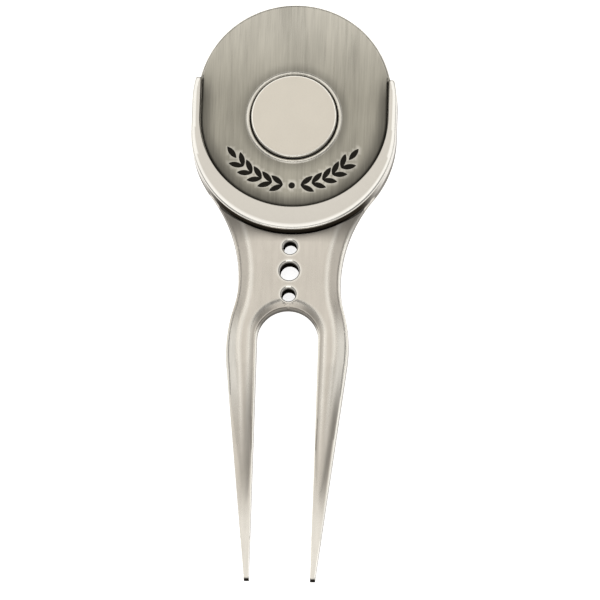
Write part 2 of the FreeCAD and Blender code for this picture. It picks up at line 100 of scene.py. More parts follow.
def arc(centre: tuple[float, float], radius: float, start: float, end: float,
        step: float) -> np.ndarray:
    """Points along an arc, both ends included.

    Args:
        centre: Centre of the arc.
        radius: Radius of the arc.
        start: First angle in degrees from +X.
        end: Last angle in degrees.
        step: Longest distance between neighbours.

    Returns:
        Array of points, one row each.
    """
    sweep = abs(math.radians(end - start)) * radius
    turns = np.radians(np.linspace(start, end, max(3, math.ceil(sweep / step) + 1)))
    return np.stack([centre[0] + radius * np.cos(turns), centre[1] + radius * np.sin(turns)], 1)


def line(start: tuple[float, float], end: tuple[float, float], step: float) -> np.ndarray:
    """Points along a straight line, both ends included.

    Args:
        start: First point.
        end: Last point.
        step: Longest distance between neighbours.

    Returns:
        Array of points, one row each.
    """
    length = math.dist(start, end)
    share = np.linspace(0.0, 1.0, max(2, math.ceil(length / step) + 1))[:, None]
    return np.array(start) * (1 - share) + np.array(end) * share


def chain(*runs: np.ndarray) -> np.ndarray:
    """One run of points from several that meet end to end, with no point twice."""
    points = np.concatenate(runs)
    keep = np.ones(len(points), bool)
    keep[1:] = np.linalg.norm(np.diff(points, axis=0), axis=1) > 1e-4
    return points[keep]


def closed(points: np.ndarray) -> np.ndarray:
    """Loop without the last point if it repeats the first."""
    return points[:-1] if np.linalg.norm(points[0] - points[-1]) < 1e-4 else points


def circle(centre: tuple[float, float], radius: float, step: float) -> np.ndarray:
    """Closed loop round a circle."""
    return closed(arc(centre, radius, 0, 360, step))


def mirrored(points: np.ndarray) -> np.ndarray:
    """The same run on the other side of X = 0, in reverse order."""
    return (points * [-1, 1])[::-1]


def distance(points: np.ndarray, runs: list[np.ndarray]) -> np.ndarray:
    """Distance of each point to the nearest of several open runs.

    Args:
        points: Plan points.
        runs: Open runs of points.

    Returns:
        One distance for each point.
    """
    best = np.full(len(points), 1e9)
    for run in runs:
        a, b = run[:-1], run[1:]
        ab = b - a
        size = np.maximum((ab ** 2).sum(1), 1e-12)
        for first in range(0, len(points), 4096):
            p = points[first:first + 4096, None, :]
            t = np.clip(((p - a) * ab).sum(2) / size, 0, 1)
            gap = np.linalg.norm(p - (a + t[..., None] * ab), axis=2).min(1)
            best[first:first + 4096] = np.minimum(best[first:first + 4096], gap)
    return best


def to_loop(points: np.ndarray, loop: np.ndarray) -> np.ndarray:
    """Distance of each point to a closed loop."""
    return distance(points, [np.vstack([loop, loop[:1]])])


def heading(degrees: float) -> np.ndarray:
    """Unit vector at an angle from +X."""
    turn = math.radians(degrees)
    return np.array([math.cos(turn), math.sin(turn)])


def inside(points: np.ndarray, loop: np.ndarray) -> np.ndarray:
    """True for each point inside a closed loop."""
    found = np.zeros(len(points), bool)
    x, y = points[:, 0], points[:, 1]
    ends = np.roll(loop, -1, axis=0)
    for (x0, y0), (x1, y1) in zip(loop, ends):
        if y0 == y1:
            continue
        crosses = (y0 > y) != (y1 > y)
        found ^= crosses & (x < (x1 - x0) * (y - y0) / (y1 - y0) + x0)
    return found


def soft_min(a: np.ndarray, b: np.ndarray, blend: float) -> np.ndarray:
    """Lower of two heights with a rounded ridge where they cross."""
    h = np.clip(0.5 + 0.5 * (b - a) / blend, 0, 1)
    return b * (1 - h) + a * h - blend * h * (1 - h)


def ramp(value: np.ndarray, low: float, high: float) -> np.ndarray:
    """Smooth step from 0 at low to 1 at high."""
    t = np.clip((value - low) / (high - low), 0, 1)
    return t * t * (3 - 2 * t)


def straight(value: np.ndarray, low: float, high: float) -> np.ndarray:
    """Straight step from 0 at low to 1 at high."""
    return np.clip((value - low) / (high - low), 0, 1)


def normals_of(loop: np.ndarray) -> np.ndarray:
    """Inward mitre vectors at each point of an anticlockwise loop."""
    before = loop - np.roll(loop, 1, axis=0)
    after = np.roll(loop, -1, axis=0) - loop
    before /= np.linalg.norm(before, axis=1)[:, None]
    after /= np.linalg.norm(after, axis=1)[:, None]
    both = np.stack([-(before + after)[:, 1], (before + after)[:, 0]], 1) / 2
    return both / np.maximum((both ** 2).sum(1), 0.4)[:, None]


# ---------------------------------------------------------------------------
# Meshes
# ---------------------------------------------------------------------------


@dataclass
class Plan:
    """Plan of a plate: its outline, through holes and the lines that its mesh follows.

    Attributes:
        outline: Anticlockwise loop of the plate's silhouette.
        bores: Loops of through holes.
        offsets: Distances from the outline of the rings of points inside it.
        creases: Open runs that edges of the mesh follow.
        rows: Open runs like creases, with no loose points close beside them.
        grid: Spacing of the loose points between the rings.
        scale: Factor on the offsets at each outline point, or None.
    """

    outline: np.ndarray
    bores: list[np.ndarray] = field(default_factory=list)
    offsets: tuple[float, ...] = (0.05, 0.12, 0.25, 0.5)
    creases: list[np.ndarray] = field(default_factory=list)
    rows: list[np.ndarray] = field(default_factory=list)
    grid: float = 0.9
    scale: Callable[[np.ndarray], np.ndarray] | None = None

    def rings(self) -> np.ndarray:
        """Loose points in rings inside the outline, none nearer to it than its own ring."""
        inward = normals_of(self.outline)
        size = np.ones(len(self.outline)) if self.scale is None else self.scale(self.outline)
        found = []
        for offset in self.offsets:
            ring = self.outline + inward * (offset * size)[:, None]
            free = to_loop(ring, self.outline) > 0.93 * offset * size
            found.append(ring[free & inside(ring, self.outline)])
        return np.concatenate(found)

    def loose(self) -> np.ndarray:
        """Loose points on a grid in the middle of the plate."""
        low, high = self.outline.min(0), self.outline.max(0)
        xs = np.arange(low[0] + self.grid / 2, high[0], self.grid)
        ys = np.arange(low[1] + self.grid / 2, high[1], self.grid)
        grid = np.stack(np.meshgrid(xs, ys), 2).reshape(-1, 2)
        grid = grid[inside(grid, self.outline)]
        return grid[to_loop(grid, self.outline) > 0.4 * self.grid]

    def mesh(self) -> tuple[np.ndarray, np.ndarray]:
        """Triangulates the plate.

        Returns:
            Plan points, and rows of three indices, anticlockwise from above.
        """
        points: list[np.ndarray] = []
        edges: list[tuple[int, int]] = []
        count = 0
        loops = [self.outline, *self.bores]
        for loop in loops:
            points.append(loop)
            size = len(loop)
            edges += [(count + i, count + (i + 1) % size) for i in range(size)]
            count += size
        for run in [*self.creases, *self.rows]:
            points.append(run)
            edges += [(count + i, count + i + 1) for i in range(len(run) - 1)]
            count += len(run)
        fixed = np.concatenate(points)
        taken = {tuple(cell) for cell in np.round(fixed / CELL).astype(int)}
        free = []
        for point in np.concatenate([self.rings(), self.loose()]):
            cell = tuple(np.round(point / CELL).astype(int))
            if cell not in taken:
                taken.add(cell)
                free.append(point)
        free = np.array(free)
        for runs, clear in ((self.creases, CELL), (self.rows, ROW_CLEAR)):
            if runs:
                free = free[distance(free, runs) > clear]
        for bore in self.bores:
            free = free[~inside(free, bore)]
            free = free[to_loop(free, bore) > BORE_CLEAR]
        flat = np.concatenate([fixed, free])
        verts, _, faces, *_ = delaunay_2d_cdt([Vector(p) for p in flat], edges, [], 0, 1e-5)
        verts = np.array([[v.x, v.y] for v in verts])
        tris = np.array([list(f) for f in faces if len(f) == 3])
        middle = verts[tris].mean(1)
        keep = inside(middle, self.outline)
        for bore in self.bores:
            keep &= ~inside(middle, bore)
        tris = tris[keep]
        a, b, c = (verts[tris[:, i]] for i in range(3))
        area = (b - a)[:, 0] * (c - a)[:, 1] - (b - a)[:, 1] * (c - a)[:, 0]
        whole = np.abs(area) > SLIVER
        tris, area = tris[whole], area[whole]
        tris[area < 0] = tris[area < 0][:, ::-1]
        used = np.unique(tris)
        renumber = np.full(len(verts), -1)
        renumber[used] = np.arange(len(used))
        return verts[used], renumber[tris]


def open_edges(tris: np.ndarray) -> np.ndarray:
    """Directed edges that only one triangle uses, in that triangle's direction."""
    edges = np.concatenate([tris[:, [0, 1]], tris[:, [1, 2]], tris[:, [2, 0]]])
    known = {tuple(edge) for edge in edges.tolist()}
    return np.array([edge for edge in edges.tolist() if (edge[1], edge[0]) not in known])


@dataclass
class Plate:
    """Solid between a front and a back relief over one plan.

    Attributes:
        plan: Plan of the plate.
        front: Heights of the front over plan points.
        back: Heights of the back over plan points.
        rows: Rows of faces down the wall of each bore.
    """

    plan: Plan
    front: Relief
    back: Relief
    rows: int = 4

    def build(self, name: str) -> bpy.types.Object:
        """Makes the object.

        Args:
            name: Name of the object.

        Returns:
            The new object, linked to the scene.
        """
        flat, tris = self.plan.mesh()
        top, low = self.front(flat), self.back(flat)
        count = len(flat)
        border = open_edges(tris)
        rim = np.zeros(count, bool)
        holes = np.zeros(count, bool)
        on_rim = to_loop(flat[border[:, 0]], self.plan.outline) < ON_LINE
        rim[border[on_rim, 0]] = True
        holes[border[~on_rim, 0]] = True
        verts = [np.column_stack([flat, top])]
        below = np.arange(count) + count
        below[rim] = np.arange(count)[rim]
        verts.append(np.column_stack([flat, low]))
        faces = tris.tolist()
        faces += [[below[c], below[b], below[a]] for a, b, c in tris.tolist()]
        size = 2 * count
        steps = np.linspace(0, 1, self.rows + 1)[1:-1]
        ladder: dict[int, list[int]] = {}
        for vert in np.flatnonzero(holes):
            rungs = []
            for step in steps:
                z = top[vert] * (1 - step) + low[vert] * step
                verts.append(np.array([[*flat[vert], z]]))
                rungs.append(size)
                size += 1
            ladder[int(vert)] = [int(vert), *rungs, int(below[vert])]
        for start, end in border[~on_rim].tolist():
            for i in range(self.rows):
                a, b = ladder[start], ladder[end]
                faces.append([b[i], a[i], a[i + 1], b[i + 1]])
        return make_object(name, np.concatenate(verts), faces)


def make_object(name: str, verts: np.ndarray, faces: list[list[int]],
                sharp: float = 38.0) -> bpy.types.Object:
    """Makes a smooth shaded object from points in millimetres.

    Args:
        name: Name of the object and its mesh.
        verts: Points, one row each.
        faces: Lists of point numbers.
        sharp: Edges that turn by more than this many degrees stay sharp.

    Returns:
        The new object, linked to the scene.
    """
    used = sorted({i for face in faces for i in face})
    number = {old: new for new, old in enumerate(used)}
    mesh = bpy.data.meshes.new(name)
    mesh.from_pydata((verts[used] * MM).tolist(), [],
                     [[number[i] for i in face] for face in faces])
    mesh.validate()
    mesh.shade_smooth()
    mesh.set_sharp_from_angle(angle=math.radians(sharp))
    mesh.update()
    obj = bpy.data.objects.new(name, mesh)
    bpy.context.scene.collection.objects.link(obj)
    return obj


def lathe(profile: list[tuple[float, float]], centre: tuple[float, float],
          sides: int) -> tuple[np.ndarray, list[list[int]]]:
    """Turned solid on an upright axis.

    Args:
        profile: Radius and height pairs from the bottom's middle to the top's middle.
        centre: Plan place of the axis.
        sides: Number of steps round the axis.

    Returns:
        Points and faces.
    """
    turns = np.arange(sides) * 2 * math.pi / sides
    verts: list[list[float]] = []
    rings: list[list[int]] = []
    for radius, z in profile:
        first = len(verts)
        if radius < 1e-6:
            verts.append([centre[0], centre[1], z])
            rings.append([first] * sides)
            continue
        verts += [[centre[0] + radius * math.cos(t), centre[1] + radius * math.sin(t), z]
                  for t in turns]
        rings.append(list(range(first, first + sides)))
    faces = []
    for lower, upper in zip(rings, rings[1:]):
        for i in range(sides):
            j = (i + 1) % sides
            face = [lower[i], lower[j], upper[j], upper[i]]
            faces.append(list(dict.fromkeys(face)))
    return np.array(verts), faces


def rounded(radius: float, z: float, round_in: float, out: bool, up: bool,
            steps: int = 5) -> list[tuple[float, float]]:
    """Quarter round at the rim of a turned solid.

    Args:
        radius: Radius of the wall.
        z: Height of the flat beside it.
        round_in: Radius of the rounding.
        out: True where the profile runs from the flat out to the wall.
        up: True where the flat is the top.
        steps: Number of faces round it.

    Returns:
        Radius and height pairs.
    """
    pairs = []
    for i in range(steps + 1):
        turn = math.pi / 2 * i / steps
        back = round_in * (1 - math.sin(turn))
        drop = round_in * (1 - math.cos(turn))
        pairs.append((radius - back, z - drop if up else z + drop))
    return pairs if out else pairs[::-1]


def mark(obj: bpy.types.Object, name: str, amount: np.ndarray) -> None:
    """Stores one number for each point of a mesh, for its material to read."""
    data = obj.data.attributes.new(name, "FLOAT", "POINT").data
    data.foreach_set("value", np.clip(amount, 0, 1).astype(np.float32))


def places(obj: bpy.types.Object) -> np.ndarray:
    """Points of a mesh in millimetres."""
    return np.array([v.co for v in obj.data.vertices]) / MM


# ---------------------------------------------------------------------------
# Materials
# ---------------------------------------------------------------------------


def linear(code: str) -> tuple[float, float, float, float]:
    """Linear colour of an sRGB hex value such as "c8bfb1"."""
    parts = [int(code[i:i + 2], 16) / 255 for i in (0, 2, 4)]
    red, green, blue = (
        p / 12.92 if p <= 0.04045 else ((p + 0.055) / 1.055) ** 2.4 for p in parts)
    return red, green, blue, 1.0


def add_node(tree: bpy.types.NodeTree, kind: str, settings: dict[str, object] | None = None,
             links: dict[int | str, object] | None = None) -> bpy.types.Node:
    """Adds a shader node.

    Args:
        tree: Node tree that it goes in.
        kind: Blender's name of the node type, without its "ShaderNode" beginning.
        settings: Properties of the node.
        links: For each input, a constant or an output socket to link.

    Returns:
        The new node.
    """
    node = tree.nodes.new("ShaderNode" + kind)
    for key, value in (settings or {}).items():
        setattr(node, key, value)
    for key, value in (links or {}).items():
        if isinstance(value, bpy.types.NodeSocket):
            tree.links.new(value, node.inputs[key])
        else:
            node.inputs[key].default_value = value
    return node


@dataclass(frozen=True)
class Grain:
    """One layer of fine surface pattern.

    Attributes:
        pitch: Real spacing in millimetres across X, Y and Z.
        depth: Height of its bump in millimetres.
        shade: How much it darkens or lightens the colour, 0 to 1.
        rough: How much it varies the roughness.
        detail: Octaves of noise.
    """

    pitch: tuple[float, float, float]
    depth: float = 0.0
    shade: float = 0.0
    rough: float = 0.0
    detail: float = 2.0


@dataclass(frozen=True)
class MetalFinish:
    """A metal with its plating, grain and dark blackening, plus painted shade and painted highlights from
    the mesh's marks.

    Attributes:
        name: Name of the material.
        light: sRGB hex of the painted highlights, where the metal is also made smoother.
        body: sRGB hex of the metal elsewhere.
        dark: sRGB hex of the blackening left in recesses and of the painted shade.
        roughness: Roughness of the plain surface.
        layers: Surface patterns, coarse to fine.
        patina_and_shade_roughness: Roughness inside the blackening and the painted shade.
        polish_smooths: Share of the roughness that polish takes away.
    """

    name: str
    light: str
    body: str
    dark: str = "16130f"
    roughness: float = 0.3
    layers: tuple[Grain, ...] = ()
    patina_and_shade_roughness: float = 0.55
    polish_smooths: float = 0.35

    def build(self) -> bpy.types.Material:
        """Makes the material.

        Returns:
            A node material that reads the mesh's marks of blackening with painted shade, and of polishing
            with painted highlights.
        """
        material = bpy.data.materials.new(self.name)
        material.use_nodes = True
        tree = material.node_tree
        tree.nodes.clear()
        out = add_node(tree, "OutputMaterial")
        metal = add_node(tree, "BsdfPrincipled", links={"Specular IOR Level": 0.0})
        tree.links.new(metal.outputs[0], out.inputs["Surface"])
        spot = add_node(tree, "TexCoord").outputs["Object"]
        # patina_and_shade marks blackening and painted shade; polish_and_highlight marks painted
        # highlights, which also lower the roughness.
        patina_and_shade = add_node(tree, "Attribute", {"attribute_name": "patina_and_shade"}).outputs["Fac"]
        polish_and_highlight = add_node(tree, "Attribute", {"attribute_name": "polish_and_highlight"}).outputs["Fac"]

        colour = add_node(tree, "Mix", {"data_type": "RGBA"}, {
            0: polish_and_highlight, 6: linear(self.body), 7: linear(self.light)}).outputs[2]
        rough = add_node(tree, "Math", {"operation": "MULTIPLY_ADD"}, {
            0: polish_and_highlight, 1: -self.polish_smooths * self.roughness, 2: self.roughness}).outputs[0]
        normal = None
        low, high = NOISE_SPAN
        for layer in self.layers:
            scale = tuple(1 / (p * MM) for p in layer.pitch)
            moved = add_node(tree, "Mapping", links={"Vector": spot, "Scale": scale})
            noise = add_node(tree, "TexNoise", links={
                "Vector": moved.outputs[0], "Scale": 1.0, "Detail": layer.detail,
                "Roughness": 0.55}).outputs[0]
            if layer.shade:
                level = add_node(tree, "MapRange", links={
                    0: noise, 1: low, 2: high, 3: 1 - layer.shade, 4: 1.0}).outputs[0]
                colour = add_node(tree, "Mix", {"data_type": "RGBA", "blend_type": "MULTIPLY"},
                                  {0: 1.0, 6: colour, 7: level}).outputs[2]
            if layer.rough:
                level = add_node(tree, "MapRange", links={
                    0: noise, 1: low, 2: high, 3: -layer.rough, 4: layer.rough}).outputs[0]
                rough = add_node(tree, "Math", {"operation": "ADD"}, {0: rough, 1: level}).outputs[0]
            if layer.depth:
                links = {"Height": noise, "Distance": layer.depth * MM, "Strength": 1.0}
                if normal is not None:
                    links["Normal"] = normal
                normal = add_node(tree, "Bump", links=links).outputs[0]
        # Painted shade and blackening: the dark colour mixed in by its mark.
        blackened_and_shaded = add_node(tree, "Mix", {"data_type": "RGBA"}, {
            0: patina_and_shade, 6: colour, 7: linear(self.dark)}).outputs[2]
        blackened_and_shaded_rough = add_node(tree, "Mix", {"data_type": "FLOAT"}, {
            0: patina_and_shade, 2: rough, 3: self.patina_and_shade_roughness}).outputs[0]
        bare = add_node(tree, "Math", {"operation": "SUBTRACT"}, {0: 1.0, 1: patina_and_shade}).outputs[0]
        tree.links.new(bare, metal.inputs["Metallic"])
        tree.links.new(blackened_and_shaded, metal.inputs["Base Color"])
        tree.links.new(blackened_and_shaded_rough, metal.inputs["Roughness"])
        if normal is not None:
            tree.links.new(normal, metal.inputs["Normal"])
        return material


# Satin nickel plate over a tumbled zinc casting: soft highlights with a faint cast ripple.
SATIN_NICKEL = MetalFinish(
    "satin_nickel_on_zinc_casting", light="e6e2d9", body="c8c1b6", roughness=0.30,
    layers=(
        Grain((7.0, 9.0, 7.0), shade=0.10, rough=0.03, detail=2.0),
        Grain((1.1, 1.4, 1.1), depth=0.004, shade=0.03, detail=2.0),
        Grain((0.7, 7.0, 0.7), shade=0.13, rough=0.03, detail=2.0),
        Grain((0.22, 0.9, 0.22), depth=0.0012, shade=0.05, rough=0.04, detail=3.0),
    ))
# Bright nickel plate, colour buffed: paler and tighter highlights on the crescent.
BUFFED_NICKEL = MetalFinish(
    "buffed_bright_nickel_plate", light="dfdcd5", body="bfbab1", dark="2c2720", roughness=0.24,
    layers=(
        Grain((5.0, 5.0, 5.0), shade=0.05, rough=0.03, detail=2.0),
        Grain((0.9, 0.9, 0.9), depth=0.002, shade=0.02, detail=2.0),
    ))
# Antique nickel, blackened, then brushed along the tool: upright hairlines, blackening in the engraved
# cuts and painted shade in the other lows.
# Real brush lines are about 0.05 mm apart; these are drawn coarser so that they show.
ANTIQUE_NICKEL = MetalFinish(
    "brushed_antique_nickel", light="ebe6da", body="b1ac9e", dark="120f0c", roughness=0.34,
    layers=(
        Grain((5.0, 14.0, 5.0), shade=0.28, rough=0.03, detail=2.0),
        Grain((0.75, 11.0, 0.75), shade=0.24, rough=0.05, detail=3.0),
        Grain((0.17, 5.0, 0.17), depth=0.0024, shade=0.22, rough=0.05, detail=3.0),
    ))
# Pearl nickel, bead blasted before plating: an even, pale, silky face.
PEARL_NICKEL = MetalFinish(
    "pearl_nickel_on_blasted_steel", light="f2eee4", body="d0c9bc", roughness=0.42,
    layers=(
        Grain((3.0, 3.0, 3.0), shade=0.03, detail=2.0),
        Grain((0.12, 0.12, 0.12), depth=0.0014, shade=0.06, rough=0.03, detail=2.0),
    ))
# Hardened spring strip, as rolled: cooler grey with faint roll lines along it.
SPRING_STEEL = MetalFinish(
    "rolled_spring_steel", light="d9d8d6", body="b9b8b5", roughness=0.30,
    layers=(
        Grain((4.0, 9.0, 4.0), shade=0.10, rough=0.04),
        Grain((0.14, 5.0, 0.14), depth=0.0012, shade=0.10, rough=0.05, detail=3.0),
    ))
# Headed wire rivets in plated steel: small round faces from the heading die.
RIVET_STEEL = MetalFinish(
    "plated_steel_rivet", light="d8d2c8", body="b5aea3", roughness=0.30,
    layers=(Grain((0.35, 0.35, 0.35), depth=0.003, shade=0.12, rough=0.05),))
# Sintered magnet in bright nickel plate: shiny with slightly soft edges.
MAGNET_NICKEL = MetalFinish(
    "nickel_plated_magnet", light="e8e4dd", body="ccc8c0", roughness=0.16,
    layers=(Grain((0.6, 0.6, 0.6), depth=0.002, shade=0.05, rough=0.03),))


def finish_piece(obj: bpy.types.Object, finish: MetalFinish, body: Body, slot: Slot,
                 *nodes: str) -> bpy.types.Object:
    """Gives a piece its material and body, and hides the CAD nodes that it stands for.

    Args:
        obj: The piece.
        finish: Its metal finish.
        body: Body that it moves with.
        slot: Material slot in the record; not used.
        *nodes: CAD nodes that it stands for.

    Returns:
        The same piece.
    """
    known = bpy.data.materials.get(finish.name)
    obj.data.materials.append(known or finish.build())
    for name in ("patina_and_shade", "polish_and_highlight"):
        if name not in obj.data.attributes:
            mark(obj, name, np.zeros(len(obj.data.vertices)))
    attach(obj, body.value)
    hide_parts(*nodes)
    LOG.info("%s: %d points, %d faces, stands for %s", obj.name, len(obj.data.vertices),
             len(obj.data.polygons), ", ".join(nodes))
    return obj


# ---------------------------------------------------------------------------
# Fork casting
# ---------------------------------------------------------------------------


@dataclass
class Fork:
    """Zinc casting with the head web, the waisted neck with its holes and the two prongs."""

    seat_y: float
    tip_y: float = -44.1
    cradle_radius: float = 15.2
    cradle_stretch: float = 2.3
    horn_rise: float = 6.0
    web_radius: float = 13.2
    web_rise: float = 11.2
    web_front: float = 1.85
    waist_x: float = 7.6
    waist_drop: float = 24.7
    shoulder_x: float = 9.1
    shoulder_drop: float = 35.2
    waist_share: float = 0.41
    tip_x: float = 5.25
    slot_half: float = 4.5
    slot_drop: float = 33.5
    thickness: float = 2.8
    tip_thickness: float = 1.4
    flank_bevel: tuple[float, float] = (2.0, 0.9)
    slot_bevel: tuple[float, float] = (1.1, 0.6)
    flank_blend: float = 0.30
    slot_blend: float = 0.22
    tip_bevel: tuple[float, float] = (0.34, 0.25)
    hole_drops: tuple[tuple[float, float], ...] = ((19.75, 1.1), (23.4, 1.5), (27.05, 1.1))
    hole_chamfer: float = 0.15
    hole_draft: float = 0.12
    hole_land: float = 1.2
    collar_drop: float = 0.02
    collar_width: float = 0.15
    collar_slope: float = 1.2
    collar_reach: float = 0.8
    joint_gap: float = 0.3
    joint_half: float = 14.2
    step_run: float = 0.04
    neck_fade: tuple[float, float] = (9.0, 15.5)
    rows_top: float = 9.5
    # Span in Y where the painted shade on the prongs' right-facing sides fades out.
    prong_side_shade_fade: tuple[float, float] = (-20.0, -10.0)
    edge_z: float = 0.30
    back_round: float = 0.28
    draft: float = 0.40
    step: float = 0.42
    recess_half: float = 4.9
    recess_drop: float = 8.0
    recess_corner: float = 3.4
    recess_depth: float = 0.95
    groove_radius: float = 14.3
    rivet_spread: float = 32.0
    rivet_pocket: tuple[float, float] = (0.97, 0.55)

    def __post_init__(self) -> None:
        """Works out places from the seat, and the arcs of the flank from the waist and shoulder."""
        self.cradle_low_y = self.seat_y - self.cradle_stretch
        self.cradle_high_y = self.seat_y + self.cradle_stretch
        self.horn_y = self.seat_y + self.horn_rise
        self.web_top_y = self.seat_y + self.web_rise
        self.slot_y = self.seat_y - self.slot_drop
        self.recess_low_y = self.seat_y - self.recess_drop
        self.holes = [(self.seat_y - drop, radius) for drop, radius in self.hole_drops]
        self.rivets = self.rivet_places()
        self.waist = (self.waist_x, self.seat_y - self.waist_drop)
        self.shoulder = (self.shoulder_x, self.seat_y - self.shoulder_drop)
        self.tip = (self.tip_x, self.tip_y)
        x, y = self.waist
        radius = self.cradle_radius
        drop = self.cradle_low_y - y
        neck = (x ** 2 + drop ** 2 - radius ** 2) / (2 * (radius - x))
        self.neck_arc = ((x + neck, y), neck)
        cut, fall = self.shoulder[0] - x, y - self.shoulder[1]
        both = (cut ** 2 + fall ** 2) / (2 * cut)
        waist = both * self.waist_share
        self.waist_arc = ((x + waist, y), waist)
        self.shoulder_arc = ((self.shoulder[0] - both + waist, self.shoulder[1]), both - waist)
        centre, size = self.shoulder_arc
        reach = math.dist(self.tip, centre)
        aim = math.degrees(math.atan2(self.tip[1] - centre[1], self.tip[0] - centre[0]))
        self.taper_turn = aim + math.degrees(math.acos(size / reach))
        turn = math.radians(self.taper_turn)
        self.taper_top = (centre[0] + size * math.cos(turn), centre[1] + size * math.sin(turn))

    def rivet_places(self) -> tuple[tuple[float, float], ...]:
        """Plan places of the cradle's rivets, midway between its groove and its outline."""
        spread = math.radians(self.rivet_spread)
        found = []
        for turn in (-spread, 0.0, spread):
            across, along = math.sin(turn), math.cos(turn)
            rim = self.cradle_stretch * along + math.sqrt(
                self.cradle_radius ** 2 - (self.cradle_stretch * across) ** 2)
            middle = (self.groove_radius + rim) / 2
            found.append((middle * across, self.seat_y - middle * along))
        return tuple(found)

    def flank(self) -> np.ndarray:
        """Right side of the fork, from the cradle's outline to the prong tip."""
        (nx, ny), neck = self.neck_arc
        start = math.degrees(math.atan2(self.cradle_low_y - ny, -nx)) % 360
        (wx, wy), waist = self.waist_arc
        (sx, sy), shoulder = self.shoulder_arc
        bend = math.degrees(math.atan2(sy - wy, sx - wx)) % 360
        return chain(
            arc((nx, ny), neck, start, 180, self.step),
            arc((wx, wy), waist, 180, bend, self.step),
            arc((sx, sy), shoulder, bend - 180, self.taper_turn, self.step),
            line(self.taper_top, self.tip, self.step))

    def slot_side(self) -> np.ndarray:
        """Right side of the slot, from the tip up to the middle of its arch."""
        foot = (self.slot_half, self.tip[1])
        return chain(
            line(foot, (self.slot_half, self.slot_y), self.step),
            arc((0, self.slot_y), self.slot_half, 0, 90, self.step * 0.7))

    def head_side(self) -> np.ndarray:
        """Right side of the head from the web's top edge to the neck."""
        seat, radius = self.seat_y, self.web_radius
        top = math.degrees(math.asin((self.web_top_y - seat) / radius))
        low = math.degrees(math.asin((self.horn_y - seat) / radius))
        corner = radius * math.cos(math.radians(top))
        inner = radius * math.cos(math.radians(low))
        cut = math.degrees(math.asin((self.horn_y - self.cradle_high_y) / self.cradle_radius))
        horn = self.cradle_radius * math.cos(math.radians(cut))
        (nx, ny), _ = self.neck_arc
        end = math.degrees(math.atan2(ny - self.cradle_low_y, nx))
        return chain(
            line((0, self.web_top_y), (self.recess_half - 0.02, self.web_top_y), 0.6),
            line((self.recess_half, self.web_top_y), (corner, self.web_top_y), 0.6),
            arc((0, seat), radius, top, low, self.step),
            line((inner, self.horn_y), (horn, self.horn_y), self.step),
            arc((0, self.cradle_high_y), self.cradle_radius, cut, 0, self.step),
            line((self.cradle_radius, self.cradle_high_y), (self.cradle_radius, self.cradle_low_y),
                 self.step),
            arc((0, self.cradle_low_y), self.cradle_radius, 0, end, self.step))

    def outline(self) -> np.ndarray:
        """Anticlockwise silhouette of the casting."""
        right = chain(self.head_side(), self.flank(), self.slot_side())
        clockwise = closed(chain(right, mirrored(right)))
        return clockwise[::-1]

    def fade(self, points: np.ndarray) -> np.ndarray:
        """0 above the prongs' straight taper, rising to 1 at the tips."""
        return np.clip((self.taper_top[1] - points[:, 1]) / (self.taper_top[1] - self.tip[1]), 0, 1)

    def bevel(self, width: float | np.ndarray, depth: float | np.ndarray,
              fade: np.ndarray) -> tuple[np.ndarray, np.ndarray]:
        """Width and depth of a bevel that narrows to the tip's.

        Args:
            width: Its width above the taper.
            depth: Its depth above the taper.
            fade: 0 above the taper, rising to 1 at the tips.

        Returns:
            Its width and its depth at each point.
        """
        tip_width, tip_depth = self.tip_bevel
        return width + (tip_width - width) * fade, depth + (tip_depth - depth) * fade

    def neck_share(self, points: np.ndarray) -> np.ndarray:
        """1 on the neck and prongs, falling to 0 at the head."""
        return 1 - ramp(points[:, 1], *self.neck_fade)

    def inset(self, points: np.ndarray) -> np.ndarray:
        """How far the drafted wall leans in from the silhouette."""
        prong = self.draft * (1 - 0.72 * self.fade(points))
        arch = ramp(points[:, 1], self.slot_y, self.slot_y + 4.0) * (
            np.abs(points[:, 0]) < self.slot_half + 0.6)
        prong = prong * (1 - 0.45 * arch)
        return 0.05 + (prong - 0.05) * self.neck_share(points)

    def cradle_gap(self, points: np.ndarray) -> np.ndarray:
        """Distance outside the cradle's outline, negative within it."""
        x, y = np.abs(points[:, 0]), points[:, 1]
        shift = np.clip(y, self.cradle_low_y, self.cradle_high_y)
        return np.hypot(x, y - shift) - self.cradle_radius

    def front(self, points: np.ndarray) -> np.ndarray:
        """Heights of the face."""
        fade = self.fade(points)
        top = self.thickness + (self.tip_thickness - self.thickness) * fade
        z = top.copy()
        flank = self.flank()
        slot = self.slot_side()
        to_flank = distance(points, [flank, mirrored(flank)])
        to_slot = distance(points, [slot, mirrored(slot)])
        to_edge = to_loop(points, self.outline())
        for gap, root, blend in ((to_flank, self.flank_bevel, self.flank_blend),
                                 (to_slot, self.slot_bevel, self.slot_blend)):
            width, depth = self.bevel(*root, fade)
            z = soft_min(z, top - depth * (1 - gap / width), blend)
        for y, radius in self.holes:
            out = np.hypot(points[:, 0], points[:, 1] - y) - radius
            beyond = np.maximum(out - self.hole_chamfer - self.collar_width, 0)
            collar = top - self.collar_drop - beyond * self.collar_slope
            z = np.where(out < self.hole_chamfer + self.collar_reach, np.maximum(z, collar), z)
            z = soft_min(z, top - (self.hole_chamfer - out), 0.04)
            bore = top - self.hole_chamfer - self.hole_land * straight(-out, 0, self.hole_draft)
            z = np.where(out < 0, bore, z)
        lean = self.inset(points)
        near = to_flank < to_slot
        width, depth = self.bevel(np.where(near, self.flank_bevel[0], self.slot_bevel[0]),
                                  np.where(near, self.flank_bevel[1], self.slot_bevel[1]), fade)
        edge = top - depth * (1 - lean / width)
        wall = self.edge_z + (edge - self.edge_z) / lean * to_edge
        z = np.minimum(z, wall)
        pad = np.minimum(self.web_front, self.edge_z + 30 * to_edge)
        step = straight(self.cradle_gap(points), self.joint_gap, self.joint_gap + self.step_run)
        z = pad + (np.maximum(z, pad) - pad) * step
